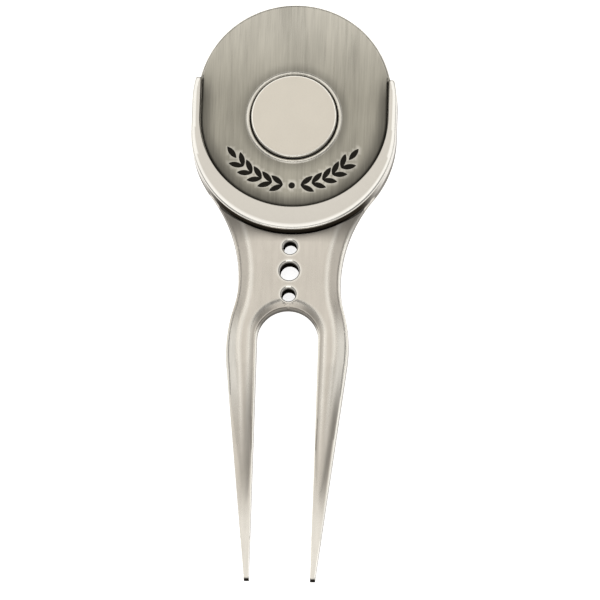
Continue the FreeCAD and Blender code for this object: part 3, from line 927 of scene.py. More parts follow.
        return np.where(to_edge < ON_LINE, self.edge_z, z)

    def recess_gap(self, points: np.ndarray) -> np.ndarray:
        """Distance outside the recess for the tongue, negative within it."""
        corner = self.recess_corner
        x = np.abs(points[:, 0]) - (self.recess_half - corner)
        y = self.recess_low_y + corner - points[:, 1]
        outside = np.hypot(np.maximum(x, 0), np.maximum(y, 0))
        return outside + np.minimum(np.maximum(x, y), 0) - corner

    def back(self, points: np.ndarray) -> np.ndarray:
        """Heights of the resting face."""
        to_edge = to_loop(points, self.outline())
        lean = np.clip(to_edge / self.back_round, 0, 1)
        z = self.edge_z * (1 - np.sqrt(1 - (1 - lean) ** 2))
        z = z + (self.recess_depth - z) * (1 - straight(self.recess_gap(points), 0.0, self.step_run))
        radius, depth = self.rivet_pocket
        for x, y in self.rivets:
            out = np.hypot(points[:, 0] - x, points[:, 1] - y)
            z = z + (depth - z) * (1 - straight(out, radius, radius + self.step_run))
        for y, radius in self.holes:
            out = np.hypot(points[:, 0], points[:, 1] - y) - radius + self.hole_draft
            z = np.maximum(z, 0.12 - out)
        return np.where(to_edge < ON_LINE, self.edge_z, z)

    def creases(self) -> list[np.ndarray]:
        """Runs that the mesh follows: the step at the cradle, the recess and the rivets."""
        runs = []
        for grow in (self.joint_gap, self.joint_gap + self.step_run):
            radius = self.cradle_radius + grow
            turn = math.degrees(math.acos(self.joint_half / radius))
            runs.append(arc((0, self.cradle_low_y), radius, 180 + turn, 360 - turn, 0.3))
        for grow in (0.0, self.step_run):
            half = self.recess_half + grow
            corner = self.recess_corner + grow
            low = self.recess_low_y - grow
            end = self.web_top_y + 0.3
            right = chain(
                line((0, low), (half - corner, low), 0.6),
                arc((half - corner, low + corner), corner, 270, 360, 0.3),
                line((half, low + corner), (half, end), 0.6))
            runs += [right, mirrored(right)]
        radius, _ = self.rivet_pocket
        for place in self.rivets:
            for size in (radius, radius + self.step_run):
                runs.append(arc(place, size, 0, 360, 0.22))
        return runs

    def rows(self) -> list[np.ndarray]:
        """Runs up the drafted walls, beside the ridges and round the holes."""
        runs = []
        end = float(self.inset(np.array([self.tip]))[0])
        shares = (0.3, 0.65, 1.0)
        for side, root, foot in (
                (self.flank(), self.flank_bevel, (self.tip_x, -1)),
                (self.slot_side()[::-1], self.slot_bevel, (self.slot_half, 1))):
            along = np.gradient(side, axis=0)
            along /= np.linalg.norm(along, axis=1)[:, None]
            inward = np.stack([along[:, 1], -along[:, 0]], 1) * -foot[1]
            fade = self.fade(side)
            for shift, limit in ((-0.5, 0.6), (-0.25, 0.75), (0.0, 0.96), (0.25, 0.75), (0.5, 0.6)):
                reach = self.bevel(*root, fade)[0] + shift * (1 - 0.6 * fade)
                run = (side + inward * reach[:, None])[(fade < limit) & (side[:, 1] < self.rows_top)]
                runs.append(run[run[:, 0] > 0.05])
            for share in shares:
                wall = side + inward * (self.inset(side) * share)[:, None]
                wall = wall[(wall[:, 1] > self.tip_y + end * share + 0.1) & (wall[:, 0] > 0.01)]
                last = [foot[0] + foot[1] * end * share, self.tip_y + end * share]
                runs.append(np.vstack([wall, last]))
        for share in shares:
            y = self.tip_y + end * share
            runs.append(line((self.slot_half + end * share, y), (self.tip_x - end * share, y), 0.12))
        head = self.head_side()
        along = np.gradient(head, axis=0)
        along /= np.linalg.norm(along, axis=1)[:, None]
        runs.append((head + np.stack([along[:, 1], -along[:, 0]], 1) * 0.06)[1:-1])
        runs += [mirrored(run) for run in runs]
        for y, radius in self.holes:
            for grow in (0.0, self.hole_chamfer, self.hole_chamfer + 0.14, 0.5):
                runs.append(arc((0, y), radius + grow, 0, 360, 0.16))
        return runs

    def build(self) -> bpy.types.Object:
        """Makes and dresses the casting."""
        plan = Plan(
            self.outline(),
            [circle((0, y), radius - self.hole_draft, 0.2) for y, radius in self.holes],
            offsets=(1.7, 2.3, 3.1, 3.9, 4.6, 5.1, 5.7),
            creases=self.creases(), rows=self.rows(), grid=0.8, scale=self.ring_scale)
        obj = Plate(plan, self.front, self.back).build("fork_casting")
        p = places(obj)
        mark(obj, "patina_and_shade", self.patina_and_shade(p))
        mark(obj, "polish_and_highlight", self.polish_and_highlight(p))
        return finish_piece(obj, SATIN_NICKEL, Body.FORK, Slot.CASTING, "fork_body")

    def hole_gap(self, points: np.ndarray) -> np.ndarray:
        """Distance outside the nearest hole, negative within it."""
        return np.min([np.hypot(points[:, 0], points[:, 1] - y) - radius
                       for y, radius in self.holes], axis=0)

    def arch(self, points: np.ndarray) -> np.ndarray:
        """1 along the slot's arch, falling to 0 where its straight sides begin."""
        near = np.hypot(points[:, 0], points[:, 1] - self.slot_y) < self.slot_half + 0.5
        return near * ramp(points[:, 1], self.slot_y + 0.5, self.slot_y + 2.5)

    def patina_and_shade(self, points: np.ndarray) -> np.ndarray:
        """Painted shade below the crescent, in the joint gap, low on the walls, up the slot's arch, in
        the holes and on the prongs' right-facing sides; darker at the tips' ends.
        """
        flat, z = points[:, :2], points[:, 2]
        gap = self.cradle_gap(flat)
        to_edge = to_loop(flat, self.outline())
        # Painted shade: in the joint gap at the crescent's foot, low on the walls beside the floor, up
        # the slot's arch and in the holes; the tips' ends darker.
        corner = (gap < self.joint_gap + 0.02) * (z > 1.8) * 0.7
        foot = (1 - ramp(z, 0.35, 0.8)) * (z > 0.02) * (to_edge < 0.3) * 0.55
        arch = self.arch(flat) * (1 - ramp(z, 1.3, 2.5)) * 0.9 * (z > 0.02)
        ends = (1 - ramp(flat[:, 1] - self.tip_y, 0.04, 0.12)) * (z > 0.1) * (to_edge < 0.2)
        bores = (self.hole_gap(flat) < -0.01) * 1.0
        return np.maximum.reduce([self.under(flat, gap), corner, foot, arch, ends, bores,
                                  self.prong_side_shade(flat) * (z > 0.5)])

    def polish_and_highlight(self, points: np.ndarray) -> np.ndarray:
        """Painted highlights on the ridges, round the holes' edges, on the walls and on the shoulders'
        bevels and tips; the same marks lower the roughness.
        """
        flat = points[:, :2]
        out = self.hole_gap(flat)
        rims = (out > -0.01) * (1 - ramp(out, 0.14, 0.40))
        wall = (to_loop(flat, self.outline()) < 0.85 * self.inset(flat)) * self.neck_share(flat)
        wall = wall * 0.9 * (1 - self.arch(flat))
        # Painted reflection on the walls, dimmer on the left flank.
        left = (flat[:, 0] < 0) & (distance(flat, [mirrored(self.flank())]) < 0.6)
        wall = wall * np.where(left, 0.2, 1.0)
        marks = [self.ridge(flat) * 0.6, rims, wall, self.bevel_and_tip_highlight(flat)]
        return np.maximum.reduce(marks) * (points[:, 2] > 0.5)

    def under(self, points: np.ndarray, gap: np.ndarray) -> np.ndarray:
        """Painted shade on the neck just below the crescent, wider towards its ends."""
        side = ramp(np.abs(points[:, 0]), 2.5, 9.5)
        reach = 1.6 + 2.6 * side
        film = (1 - ramp(gap / reach, 0.1, 1.0)) * (0.34 + 0.16 * side)
        return film * (gap > 0.3) * (points[:, 1] < self.seat_y)

    def ring_scale(self, points: np.ndarray) -> np.ndarray:
        """Scale of the mesh's rings: the wall's lean on the neck and prongs."""
        return np.maximum(self.inset(points), 0.09)

    def bevel_and_tip_highlight(self, points: np.ndarray) -> np.ndarray:
        """1 on the shoulders' outer bevels and the tips, where a highlight is painted."""
        flank = self.flank()
        gap = distance(points, [flank, mirrored(flank)])
        outer = (1 - ramp(gap, 1.2, 2.1)) * 0.8
        low, high = self.shoulder[1] - 13, self.shoulder[1] + 7
        along = ramp(points[:, 1], low, low + 9) * (1 - ramp(points[:, 1], high - 6, high))
        tips = (1 - ramp(points[:, 1], self.tip_y + 6, self.tip_y + 17)) * 0.6
        return np.maximum(outer * along, tips)

    def prong_side_shade(self, points: np.ndarray) -> np.ndarray:
        """Painted shade on the prongs' right-facing sides: the inner side of the left prong and the outer
        side of the right one.
        """
        x, y = points[:, 0], points[:, 1]
        slot, flank = self.slot_side(), self.flank()
        along = ramp(y, self.tip_y + 8, self.tip_y + 18) * (1 - ramp(y, *self.prong_side_shade_fade))
        gap = distance(points, [mirrored(slot)])
        inner = ramp(gap, 0.3, 0.5) * (1 - ramp(gap, 0.7, 2.4)) * (x < 0) * 0.3
        gap = distance(points, [flank])
        outer = (1 - ramp(np.abs(gap - 0.6), 0.15, 0.7)) * (x > 0) * 0.42
        return along * np.maximum(inner, outer * (gap > 0.3))

    def ridge(self, points: np.ndarray) -> np.ndarray:
        """1 along the ridges between face and bevels, where a highlight is painted."""
        flank = self.flank()
        slot = self.slot_side()
        fade = self.fade(points)
        total = np.zeros(len(points))
        for run, root in ((flank, self.flank_bevel), (slot, self.slot_bevel)):
            width, _ = self.bevel(*root, fade)
            gap = np.abs(distance(points, [run, mirrored(run)]) - width)
            total = np.maximum(total, 1 - ramp(gap, 0.0, 0.5))
        return total * (1 - ramp(fade, 0.1, 0.5))


# ---------------------------------------------------------------------------
# Cradle
# ---------------------------------------------------------------------------


@dataclass
class Cradle:
    """Crescent with two horns, whose lip overhangs the groove for the clip."""

    fork: Fork
    lip_radius: float = 14.0
    groove_top: float = 3.3
    bottom: float = 1.85
    top: float = 4.6
    outer_round: float = 0.30
    lip_round: float = 0.15
    horn_round: float = 0.35

    def path(self) -> tuple[np.ndarray, np.ndarray]:
        """Matching points of the pocket's edge and the crescent's edge, horn to horn."""
        fork = self.fork
        rise = fork.horn_y - fork.seat_y
        rises = np.concatenate([rise - np.array([0, 0.03, 0.09, 0.18, 0.28, 0.4]),
                                np.linspace(rise - 0.7, 0.15, 16)])
        inner, outer = self.arm(1, rises)
        for turn in np.radians(np.linspace(0, -180, 181)):
            dx, dy = math.cos(turn), math.sin(turn)
            inner.append((self.lip_radius * dx, fork.seat_y + self.lip_radius * dy))
            far = self.ray(dx, dy)
            outer.append((far * dx, fork.seat_y + far * dy))
        left_inner, left_outer = self.arm(-1, rises[::-1])
        return np.array(inner + left_inner), np.array(outer + left_outer)

    def arm(self, side: int, rises: np.ndarray) -> tuple[list[tuple[float, float]],
                                                         list[tuple[float, float]]]:
        """Matching points of the two edges along one horn.

        Args:
            side: 1 for the right horn, -1 for the left.
            rises: Heights above the seat's middle, in order.

        Returns:
            Points of the pocket's edge and of the crescent's edge.
        """
        ys = [self.fork.seat_y + rise for rise in rises]
        return [(side * self.lip_radius, y) for y in ys], [(side * self.reach(y), y) for y in ys]

    def reach(self, y: float) -> float:
        """Half width of the crescent's outline at a height in Y."""
        fork = self.fork
        over = max(0.0, y - fork.cradle_high_y)
        return math.sqrt(fork.cradle_radius ** 2 - over ** 2)

    def ray(self, dx: float, dy: float) -> float:
        """Distance from the seat's middle to the outline along a downward direction."""
        fork = self.fork
        drop = fork.cradle_low_y - fork.seat_y
        along = drop * dy
        far = along + math.sqrt(along ** 2 - drop ** 2 + fork.cradle_radius ** 2)
        if far * dy > drop and abs(dx) > 1e-6:
            far = fork.cradle_radius / abs(dx)
        return far

    def build(self) -> bpy.types.Object:
        """Makes and dresses the crescent."""
        inner, outer = self.path()
        across = outer - inner
        width = np.linalg.norm(across, axis=1)
        across = across / width[:, None]
        count = len(inner)
        verts: list[list[float]] = []
        ends = np.minimum(self.fork.horn_y - inner[:, 1], self.horn_round)
        ends = np.where(inner[:, 1] > self.fork.seat_y, ends, self.horn_round)
        sink = self.horn_round - np.sqrt(
            np.maximum(self.horn_round ** 2 - (self.horn_round - ends) ** 2, 0))
        section = self.section()
        for i in range(count):
            for share, shift, z in section:
                s = share * width[i] + shift
                x, y = inner[i] + across[i] * s
                height = z
                if z > self.groove_top + 0.2:
                    height = z - sink[i] * (0.6 + 0.4 * (z > self.top - 0.2))
                verts.append([x, y, height])
        size = len(section)
        faces = []
        for i in range(count - 1):
            for j in range(size):
                k = (j + 1) % size
                faces.append([i * size + j, i * size + k, (i + 1) * size + k, (i + 1) * size + j])
        faces.append(list(range(size))[::-1])
        faces.append([(count - 1) * size + j for j in range(size)])
        obj = make_object("cradle_crescent", np.array(verts), faces, sharp=42)
        p = places(obj)
        # Painted shade on the crescent's outer wall, most where it faces the tips, low on its sides and
        # down the pocket's lip.
        turn = np.degrees(np.arctan2(np.abs(p[:, 0]), self.fork.seat_y - p[:, 1]))
        gap = self.fork.cradle_gap(p[:, :2])
        wall = (gap > -0.05) * (1 - ramp(p[:, 2], 4.12, 4.32))
        foot = wall * (1 - ramp(turn, 36, 60))
        side = wall * ramp(turn, 36, 60) * (1 - ramp(p[:, 2], 2.0, 2.5)) * 0.6
        lip = np.hypot(p[:, 0], np.minimum(p[:, 1] - self.fork.seat_y, 0)) < self.lip_radius + 0.02
        lip = lip * (1 - ramp(p[:, 2], 4.3, 4.5))
        mark(obj, "patina_and_shade", np.maximum.reduce([foot, side, lip * 1.0]))
        # Painted highlight along the crescent's outer top edge.
        mark(obj, "polish_and_highlight", (gap < -0.04) * (gap > -0.6) * (p[:, 2] > 4.3) * 1.0)
        return finish_piece(obj, BUFFED_NICKEL, Body.FORK, Slot.POLISHED, "cradle_rim")

    def section(self) -> list[tuple[float, float, float]]:
        """Section of the crescent: share of its width, shift outwards and height."""
        groove = self.fork.groove_radius - self.lip_radius
        lip, outer = self.lip_round, self.outer_round
        points = [(0.0, groove, self.bottom), (0.0, groove, self.groove_top),
                  (0.0, 0.0, self.groove_top), (0.0, 0.0, self.top - lip * 2)]
        for i in range(5):
            turn = math.pi / 2 * i / 4
            points.append((0.0, lip * (1 - math.cos(turn)),
                           self.top - 0.03 - lip * (1 - math.sin(turn))))
        for share in (0.08, 0.2, 0.35, 0.5, 0.65, 0.8, 0.92):
            crown = 0.03 * (1 - (2 * share - 1) ** 2)
            points.append((share, lip * (1 - share) - outer * share, self.top - 0.03 + crown))
        for i in range(9):
            turn = math.pi / 2 * i / 8
            points.append((1.0, -outer * (1 - math.sin(turn)),
                           self.top - 0.03 - outer * (1 - math.cos(turn))))
        points += [(1.0, 0.0, 4.0), (1.0, 0.0, 3.2), (1.0, 0.0, 2.4), (1.0, 0.0, self.bottom)]
        return points


# ---------------------------------------------------------------------------
# Clip
# ---------------------------------------------------------------------------


@dataclass
class Garland:
    """Two engraved branches of paired leaves that meet in a berry below the seat."""

    centre_y: float
    radius: float = 10.59
    depth: float = 0.15
    leaf_length: float = 2.3
    leaf_width: float = 0.85
    tilt: float = 32.0
    pairs: int = 5
    pitch: float = 9.0
    first: float = 7.0
    berry: float = 0.5
    slope: float = 0.07

    def leaves(self) -> list[tuple[np.ndarray, float]]:
        """Foot and direction in degrees of each leaf."""
        found = []
        for side in (1, -1):
            for pair in range(self.pairs + 1):
                turn = side * (self.first + pair * self.pitch)
                angle = math.radians(turn - 90)
                foot = np.array([self.radius * math.cos(angle),
                                 self.centre_y + self.radius * math.sin(angle)])
                along = turn if side > 0 else turn + 180
                tilts = (self.tilt, -self.tilt) if pair < self.pairs else (0.0,)
                found += [(foot, along + tilt) for tilt in tilts]
        return found

    def arcs(self, foot: np.ndarray, direction: float) -> list[tuple[np.ndarray, float]]:
        """Centres of the two circles whose overlap is the leaf, with their radius."""
        half, width = self.leaf_length / 2, self.leaf_width / 2
        radius = (half ** 2 + width ** 2) / (2 * width)
        along = heading(direction)
        side = np.array([-along[1], along[0]])
        middle = foot + along * half
        return [(middle + side * (radius - width), radius),
                (middle - side * (radius - width), radius)]

    def within(self, points: np.ndarray) -> np.ndarray:
        """Distance inside the engraving, negative outside it."""
        best = self.berry - np.hypot(points[:, 0], points[:, 1] - self.centre_y + self.radius)
        for foot, direction in self.leaves():
            gaps = [radius - np.hypot(*(points - centre).T)
                    for centre, radius in self.arcs(foot, direction)]
            best = np.maximum(best, np.minimum(*gaps))
        return best

    def creases(self) -> list[np.ndarray]:
        """Runs round each leaf at the top and the foot of its wall."""
        runs = []
        for grow in (0.0, self.slope):
            runs.append(arc((0, self.centre_y - self.radius), self.berry - grow, 0, 360, 0.14))
            for foot, direction in self.leaves():
                for centre, radius in self.arcs(foot, direction):
                    size = radius - grow
                    middle = foot + self.leaf_length / 2 * heading(direction)
                    reach = math.degrees(math.acos(math.dist(middle, centre) / size))
                    aim = math.degrees(math.atan2(*(middle - centre)[::-1]))
                    runs.append(arc(tuple(centre), size, aim - reach, aim + reach, 0.14))
        return runs


@dataclass
class Clip:
    """Round cap clip: face with the marker's seat, bead and garland, flange and boss."""

    seat_y: float
    face_radius: float = 13.85
    flange_radius: float = 14.2
    crown_radius: float = 14.4
    crown_y: float = 29.7
    shoulder_y: float = 32.8
    back_z: float = 1.9
    flange_top: float = 3.2
    face_z: float = 4.0
    edge_round: float = 0.45
    seam_rise: float = 0.15
    step_run: float = 0.02
    boss_run: float = 0.03
    seat_radius: float = 6.55
    seat_floor: float = 3.15
    bead_width: float = 0.6
    bead_height: float = 0.12
    magnet_radius: float = 4.8
    magnet_floor: float = 2.25
    boss_half: float = 4.5
    boss_y: tuple[float, float] = (38.1, 42.1)
    boss_z: float = 0.85

    def __post_init__(self) -> None:
        """Places the garland round the seat."""
        self.garland = Garland(self.seat_y)

    def crown_half(self, y: float) -> float:
        """Half width of the crown at a height in Y."""
        return math.sqrt(self.crown_radius ** 2 - (y - self.crown_y) ** 2)

    def outline(self) -> np.ndarray:
        """Anticlockwise silhouette with the flange below the shoulders."""
        turn = math.degrees(math.asin((self.shoulder_y - self.crown_y) / self.crown_radius))
        crown = arc((0, self.crown_y), self.crown_radius, turn, 180 - turn, 0.35)
        half = self.crown_half(self.shoulder_y)
        radius = self.flange_radius
        return closed(chain(
            crown, line((-half, self.shoulder_y), (-radius, self.shoulder_y), 0.3),
            line((-radius, self.shoulder_y), (-radius, self.seat_y), 0.4),
            arc((0, self.seat_y), radius, 180, 360, 0.35),
            line((radius, self.seat_y), (radius, self.shoulder_y), 0.4),
            line((radius, self.shoulder_y), (half, self.shoulder_y), 0.3)))

    def face_gap(self, points: np.ndarray) -> np.ndarray:
        """Distance inside the face's own outline."""
        x, y = np.abs(points[:, 0]), points[:, 1]
        arms = self.face_radius - np.hypot(x, np.minimum(y - self.seat_y, 0))
        crown = self.crown_radius - np.hypot(x, y - self.crown_y)
        share = ramp(y, self.shoulder_y - 0.001, self.shoulder_y + 0.001)
        above = np.minimum(crown, np.hypot(
            np.maximum(self.face_radius - x, 0), y - self.shoulder_y) + 9 * (x < self.face_radius))
        return arms * (1 - share) + np.minimum(crown, above) * share

    def front(self, points: np.ndarray) -> np.ndarray:
        """Heights of the face side."""
        gap = self.face_gap(points)
        fall = np.clip(self.edge_round - gap, 0, self.edge_round)
        z = self.face_z - self.edge_round + np.sqrt(self.edge_round ** 2 - fall ** 2)
        z = z - self.garland.depth * straight(self.garland.within(points), 0.0, self.garland.slope)
        radius = np.hypot(points[:, 0], points[:, 1] - self.seat_y)
        bead = (radius - self.seat_radius - self.bead_width / 2) / (self.bead_width / 2)
        z = z + self.bead_height * np.sqrt(np.clip(1 - bead ** 2, 0, 1))
        for size, floor in ((self.seat_radius, self.seat_floor),
                            (self.magnet_radius, self.magnet_floor)):
            z = z + (floor - z) * (1 - straight(radius, size - self.step_run, size))
        flange = np.where(points[:, 1] <= self.shoulder_y + 1e-4, self.flange_top, self.back_z + 0.2)
        return flange + (np.maximum(z, flange) - flange) * straight(gap, -self.step_run, 0.0)

    def back(self, points: np.ndarray) -> np.ndarray:
        """Heights of the side that faces the web."""
        share = np.clip(to_loop(points, self.outline()) / self.seam_rise, 0, 1)
        z = self.back_z + self.seam_rise * (1 - np.sqrt(1 - (1 - share) ** 2))
        x, y = np.abs(points[:, 0]), points[:, 1]
        box = np.maximum(x - self.boss_half, np.maximum(self.boss_y[0] - y, y - self.boss_y[1]))
        return z + (self.boss_z - z) * (1 - straight(box, -self.boss_run, 0.0))

    def creases(self) -> list[np.ndarray]:
        """Runs that the mesh follows."""
        runs = self.garland.creases()
        seat = (0.0, self.seat_y)
        sizes = [self.magnet_radius, self.magnet_radius - self.step_run,
                 self.seat_radius, self.seat_radius - self.step_run]
        sizes += [self.seat_radius + self.bead_width * share
                  for share in (0.15, 0.5, 0.85, 1.0, 1.14)]
        runs += [arc(seat, size, 0, 360, 0.3) for size in sizes]
        turn = math.degrees(math.asin((self.shoulder_y - self.crown_y) / self.crown_radius))
        for inset in (-0.02, 0.0, 0.05, 0.12, 0.22, 0.33, 0.45):
            radius = self.face_radius - inset
            arms = [line((side * radius, self.shoulder_y), (side * radius, self.seat_y), 0.4)
                    for side in (1, -1)]
            runs += [*arms, arc(seat, radius, 180, 360, 0.35)]
        for inset in (0.02, 0.06, 0.12, 0.22, 0.33, 0.45):
            runs.append(arc((0, self.crown_y), self.crown_radius - inset, turn, 180 - turn, 0.35))
        for grow in (0.0, -self.boss_run):
            half = self.boss_half + grow
            low, high = self.boss_y[0] - grow, self.boss_y[1] + grow
            corners = [(half, low), (half, high), (-half, high), (-half, low), (half, low)]
            runs += [line(a, b, 0.6) for a, b in zip(corners, corners[1:])]
        return runs

    def build(self) -> bpy.types.Object:
        """Makes and dresses the clip's plate."""
        plan = Plan(self.outline(), offsets=(0.15, 0.8, 1.2, 1.7), creases=self.creases(),
                    grid=0.55)

        def front(points: np.ndarray) -> np.ndarray:
            """Face heights with the silhouette on the seam between front and back."""
            on_edge = to_loop(points, self.outline()) < ON_LINE
            return np.where(on_edge, self.back_z + self.seam_rise, self.front(points))

        obj = Plate(plan, front, self.back).build("clip_disc")
        p = places(obj)
        mark(obj, "patina_and_shade", self.patina_and_shade(p))
        mark(obj, "polish_and_highlight", self.polish_and_highlight(p))
        return finish_piece(obj, ANTIQUE_NICKEL, Body.CLIP, Slot.ANTIQUE, "clip_plate")

    def patina_and_shade(self, points: np.ndarray) -> np.ndarray:
        """Blackening in the garland's cuts, a darker ring round the bead, and painted shade beside the
        cradle and down the seat's wall.
        """
        flat, z = points[:, :2], points[:, 2]
        radius = np.hypot(flat[:, 0], flat[:, 1] - self.seat_y)
        cut = (self.garland.within(flat) > 0.01) * (z > self.face_z - 0.5) * (z < self.face_z - 0.01)
        halo = (1 - ramp(radius - self.seat_radius - self.bead_width, 0.0, 1.6)) * 0.22
        halo = halo * (radius > self.seat_radius + self.bead_width * 0.9)
        # Painted shade near the face's edge below the shoulders, beside the crescent, and down the seat's
        # wall.
        gap = self.face_gap(flat)
        below = 1 - ramp(flat[:, 1], self.seat_y + 2.5, self.seat_y + 7.5)
        shade = (1 - ramp(gap, 0.2, 2.4)) * 0.5 * below * (gap > -0.01)
        wall = ((radius < self.seat_radius + 0.01) & (radius > self.magnet_radius)) * 1.0
        return np.maximum.reduce([cut * 0.95, halo, shade, wall * 0.9])

    def polish_and_highlight(self, points: np.ndarray) -> np.ndarray:
        """Painted highlights on the bead, beside the garland's cuts and along the crown, and painted
        light growing towards the top of the face; the same marks lower the roughness.
        """
        flat, z = points[:, :2], points[:, 2]
        radius = np.hypot(flat[:, 0], flat[:, 1] - self.seat_y)
        within = self.garland.within(flat)
        bead = (np.abs(radius - self.seat_radius - self.bead_width / 2) < 0.31) * 1.0
        cut = (within > -0.14) * (within < 0.01) * (z > self.face_z - 0.02) * 0.55
        crown = (1 - ramp(self.face_gap(flat), 0.2, 0.5)) * (flat[:, 1] > self.shoulder_y)
        # Painted light: the face grows lighter towards the crown.
        high = ramp(flat[:, 1], self.crown_y - 2, self.crown_y + 16) * 0.45
        return np.maximum.reduce([bead, cut, crown * 0.8, high]) * (z > self.face_z - 0.5)


@dataclass
class Tongue:
    """Spring strip behind the web, with its tip bent away as a lead-in."""

    half: float = 4.5
    corner: float = 3.0
    top_y: float = 42.1
    tip_y: float = 18.9
    bottom: float = 0.35
    thickness: float = 0.5
    bend: float = 0.22
    bend_run: float = 1.8
    edge: float = 0.12
    rivets: tuple[tuple[float, float], ...] = ((-2.5, 40.1), (2.5, 40.1))
    hole: float = 0.77

    def outline(self) -> np.ndarray:
        """Anticlockwise silhouette."""
        half, corner, low = self.half, self.corner, self.tip_y
        return closed(chain(
            line((half, self.top_y), (-half, self.top_y), 0.6),
            line((-half, self.top_y), (-half, low + corner), 0.6),
            arc((-half + corner, low + corner), corner, 180, 270, 0.25),
            line((-half + corner, low), (half - corner, low), 0.4),
            arc((half - corner, low + corner), corner, 270, 360, 0.25),
            line((half, low + corner), (half, self.top_y), 0.6)))

    def lean(self, points: np.ndarray) -> np.ndarray:
        """How far the tip leans away from the web."""
        share = np.clip((self.tip_y + self.bend_run - points[:, 1]) / self.bend_run, 0, 1)
        return self.bend * share ** 1.4

    def fall(self, points: np.ndarray) -> np.ndarray:
        """Rounding at the strip's edges."""
        share = np.clip(to_loop(points, self.outline()) / self.edge, 0, 1)
        return 1 - np.sqrt(1 - (1 - share) ** 2)

    def front(self, points: np.ndarray) -> np.ndarray:
        """Heights of the side that touches the boss."""
        drop = self.fall(points) * self.thickness / 2
        return self.bottom + self.thickness - drop - self.lean(points)

    def back(self, points: np.ndarray) -> np.ndarray:
        """Heights of the outer side."""
        return self.bottom + self.fall(points) * self.thickness / 2 - self.lean(points)

    def build(self) -> bpy.types.Object:
        """Makes and dresses the tongue."""
        plan = Plan(self.outline(), [circle(place, self.hole, 0.2) for place in self.rivets],
                    offsets=(0.02, 0.05, 0.12, 0.3, 0.7), grid=0.9)
        obj = Plate(plan, self.front, self.back, rows=2).build("spring_tongue")
        return finish_piece(obj, SPRING_STEEL, Body.CLIP, Slot.SPRING, "clip_spring")


@dataclass
class Rivets:
    """Set of headed rivets driven from the back.

    Attributes:
        name: Name of the piece.
        node: CAD node that it stands for.
        body: Body that it moves with.
        places: Plan places of the axes.
        head: Radius of the heads.
        head_z: Lowest and highest point of the heads.
        shank: Radius of the shanks.
        shank_top: Height of the shanks' ends.
    """

    name: str
    node: str
    body: Body
    places: tuple[tuple[float, float], ...]
    head: float
    head_z: tuple[float, float]
    shank: float
    shank_top: float

    def build(self) -> bpy.types.Object:
        """Makes and dresses the rivets as one piece."""
        low, high = self.head_z
        crown = (high - low) * 0.45
        brim = high - 0.05
        dome = [(self.head * math.sin(a), brim - (brim - low) * (0.45 * math.cos(a) + 0.55))
                for a in np.radians((0, 12, 24, 36, 48, 60, 72, 82))]
        profile = [(0.0 if i == 0 else r, z) for i, (r, z) in enumerate(dome)]
        profile += [(self.head, low + crown + 0.02), (self.head, high - 0.04),
                    (self.head - 0.04, high), (self.shank, high),
                    (self.shank, self.shank_top - 0.12), (self.shank - 0.12, self.shank_top),
                    (0.0, self.shank_top)]
        verts: list[np.ndarray] = []
        faces: list[list[int]] = []
        for place in self.places:
            points, loops = lathe(profile, place, 40)
            first = sum(len(v) for v in verts)
            verts.append(points)
            faces += [[first + i for i in face] for face in loops]
        obj = make_object(self.name, np.concatenate(verts), faces, sharp=35)
        return finish_piece(obj, RIVET_STEEL, self.body, Slot.RIVET, self.node)


# ---------------------------------------------------------------------------
# Marker and magnet
# ---------------------------------------------------------------------------


@dataclass
class Marker:
    """Ball marker: a steel disc with a chamfered face edge, where a highlight is painted, and painted
    shade down its side.
    """

    seat_y: float
    radius: float = 6.35
    bottom: float = 3.2
    top: float = 4.75
    edge: float = 0.2
    back_round: float = 0.14
    back_ring: float = 3.0
    crown: float = 0.02

    def build(self) -> bpy.types.Object:
        """Makes and dresses the marker."""
        low, high = self.bottom, self.top
        rim = self.radius - self.edge
        profile = [(0.0, low), (self.back_ring, low), (self.radius - self.back_round, low)]
        profile += rounded(self.radius, low, self.back_round, True, False, 3)[1:]
        profile += [(self.radius, (low + high) / 2), (self.radius, high - self.edge - 0.02)]
        profile += rounded(self.radius, high - self.crown, self.edge, False, True, 5)
        profile += [(rim - 0.05, high - self.crown * 0.8)]
        profile += [(rim * share, high - self.crown * share ** 2)
                    for share in (step / 10 for step in range(9, 0, -1))]
        profile.append((0.0, high))
        verts, faces = lathe(profile, (0, self.seat_y), 128)
        obj = make_object("marker_coin", verts, faces, sharp=50)
        p = places(obj)
        radius = np.hypot(p[:, 0], p[:, 1] - self.seat_y)
        # Painted shade down the side wall and a painted highlight on the face's edge.
        wall = (radius > self.radius - 0.02) * (1 - ramp(p[:, 2], 4.1, 4.5))
        mark(obj, "patina_and_shade", wall * 0.8)
        mark(obj, "polish_and_highlight", (radius > rim - 0.02) * (p[:, 2] > 4.4) * 1.0)
        return finish_piece(obj, PEARL_NICKEL, Body.MARKER, Slot.PEARL, "ball_marker")


@dataclass
class Magnet:
    """Disc magnet, flush with the floor of the seat."""

    seat_y: float
    radius: float = 4.75
    bottom: float = 2.25
    top: float = 3.15
    edge: float = 0.12

    def build(self) -> bpy.types.Object:
        """Makes and dresses the magnet."""
        profile = [(0.0, self.bottom), (self.radius - self.edge, self.bottom)]
        profile += rounded(self.radius, self.bottom, self.edge, True, False, 4)[1:]
        profile += rounded(self.radius, self.top, self.edge, False, True, 4)
        profile += [(self.radius * 0.6, self.top), (0.0, self.top)]
        verts, faces = lathe(profile, (0, self.seat_y), 96)
        obj = make_object("seat_magnet", verts, faces, sharp=50)
        return finish_piece(obj, MAGNET_NICKEL, Body.CLIP, Slot.MAGNET, "marker_magnet")


# ---------------------------------------------------------------------------
# Studio
# ---------------------------------------------------------------------------


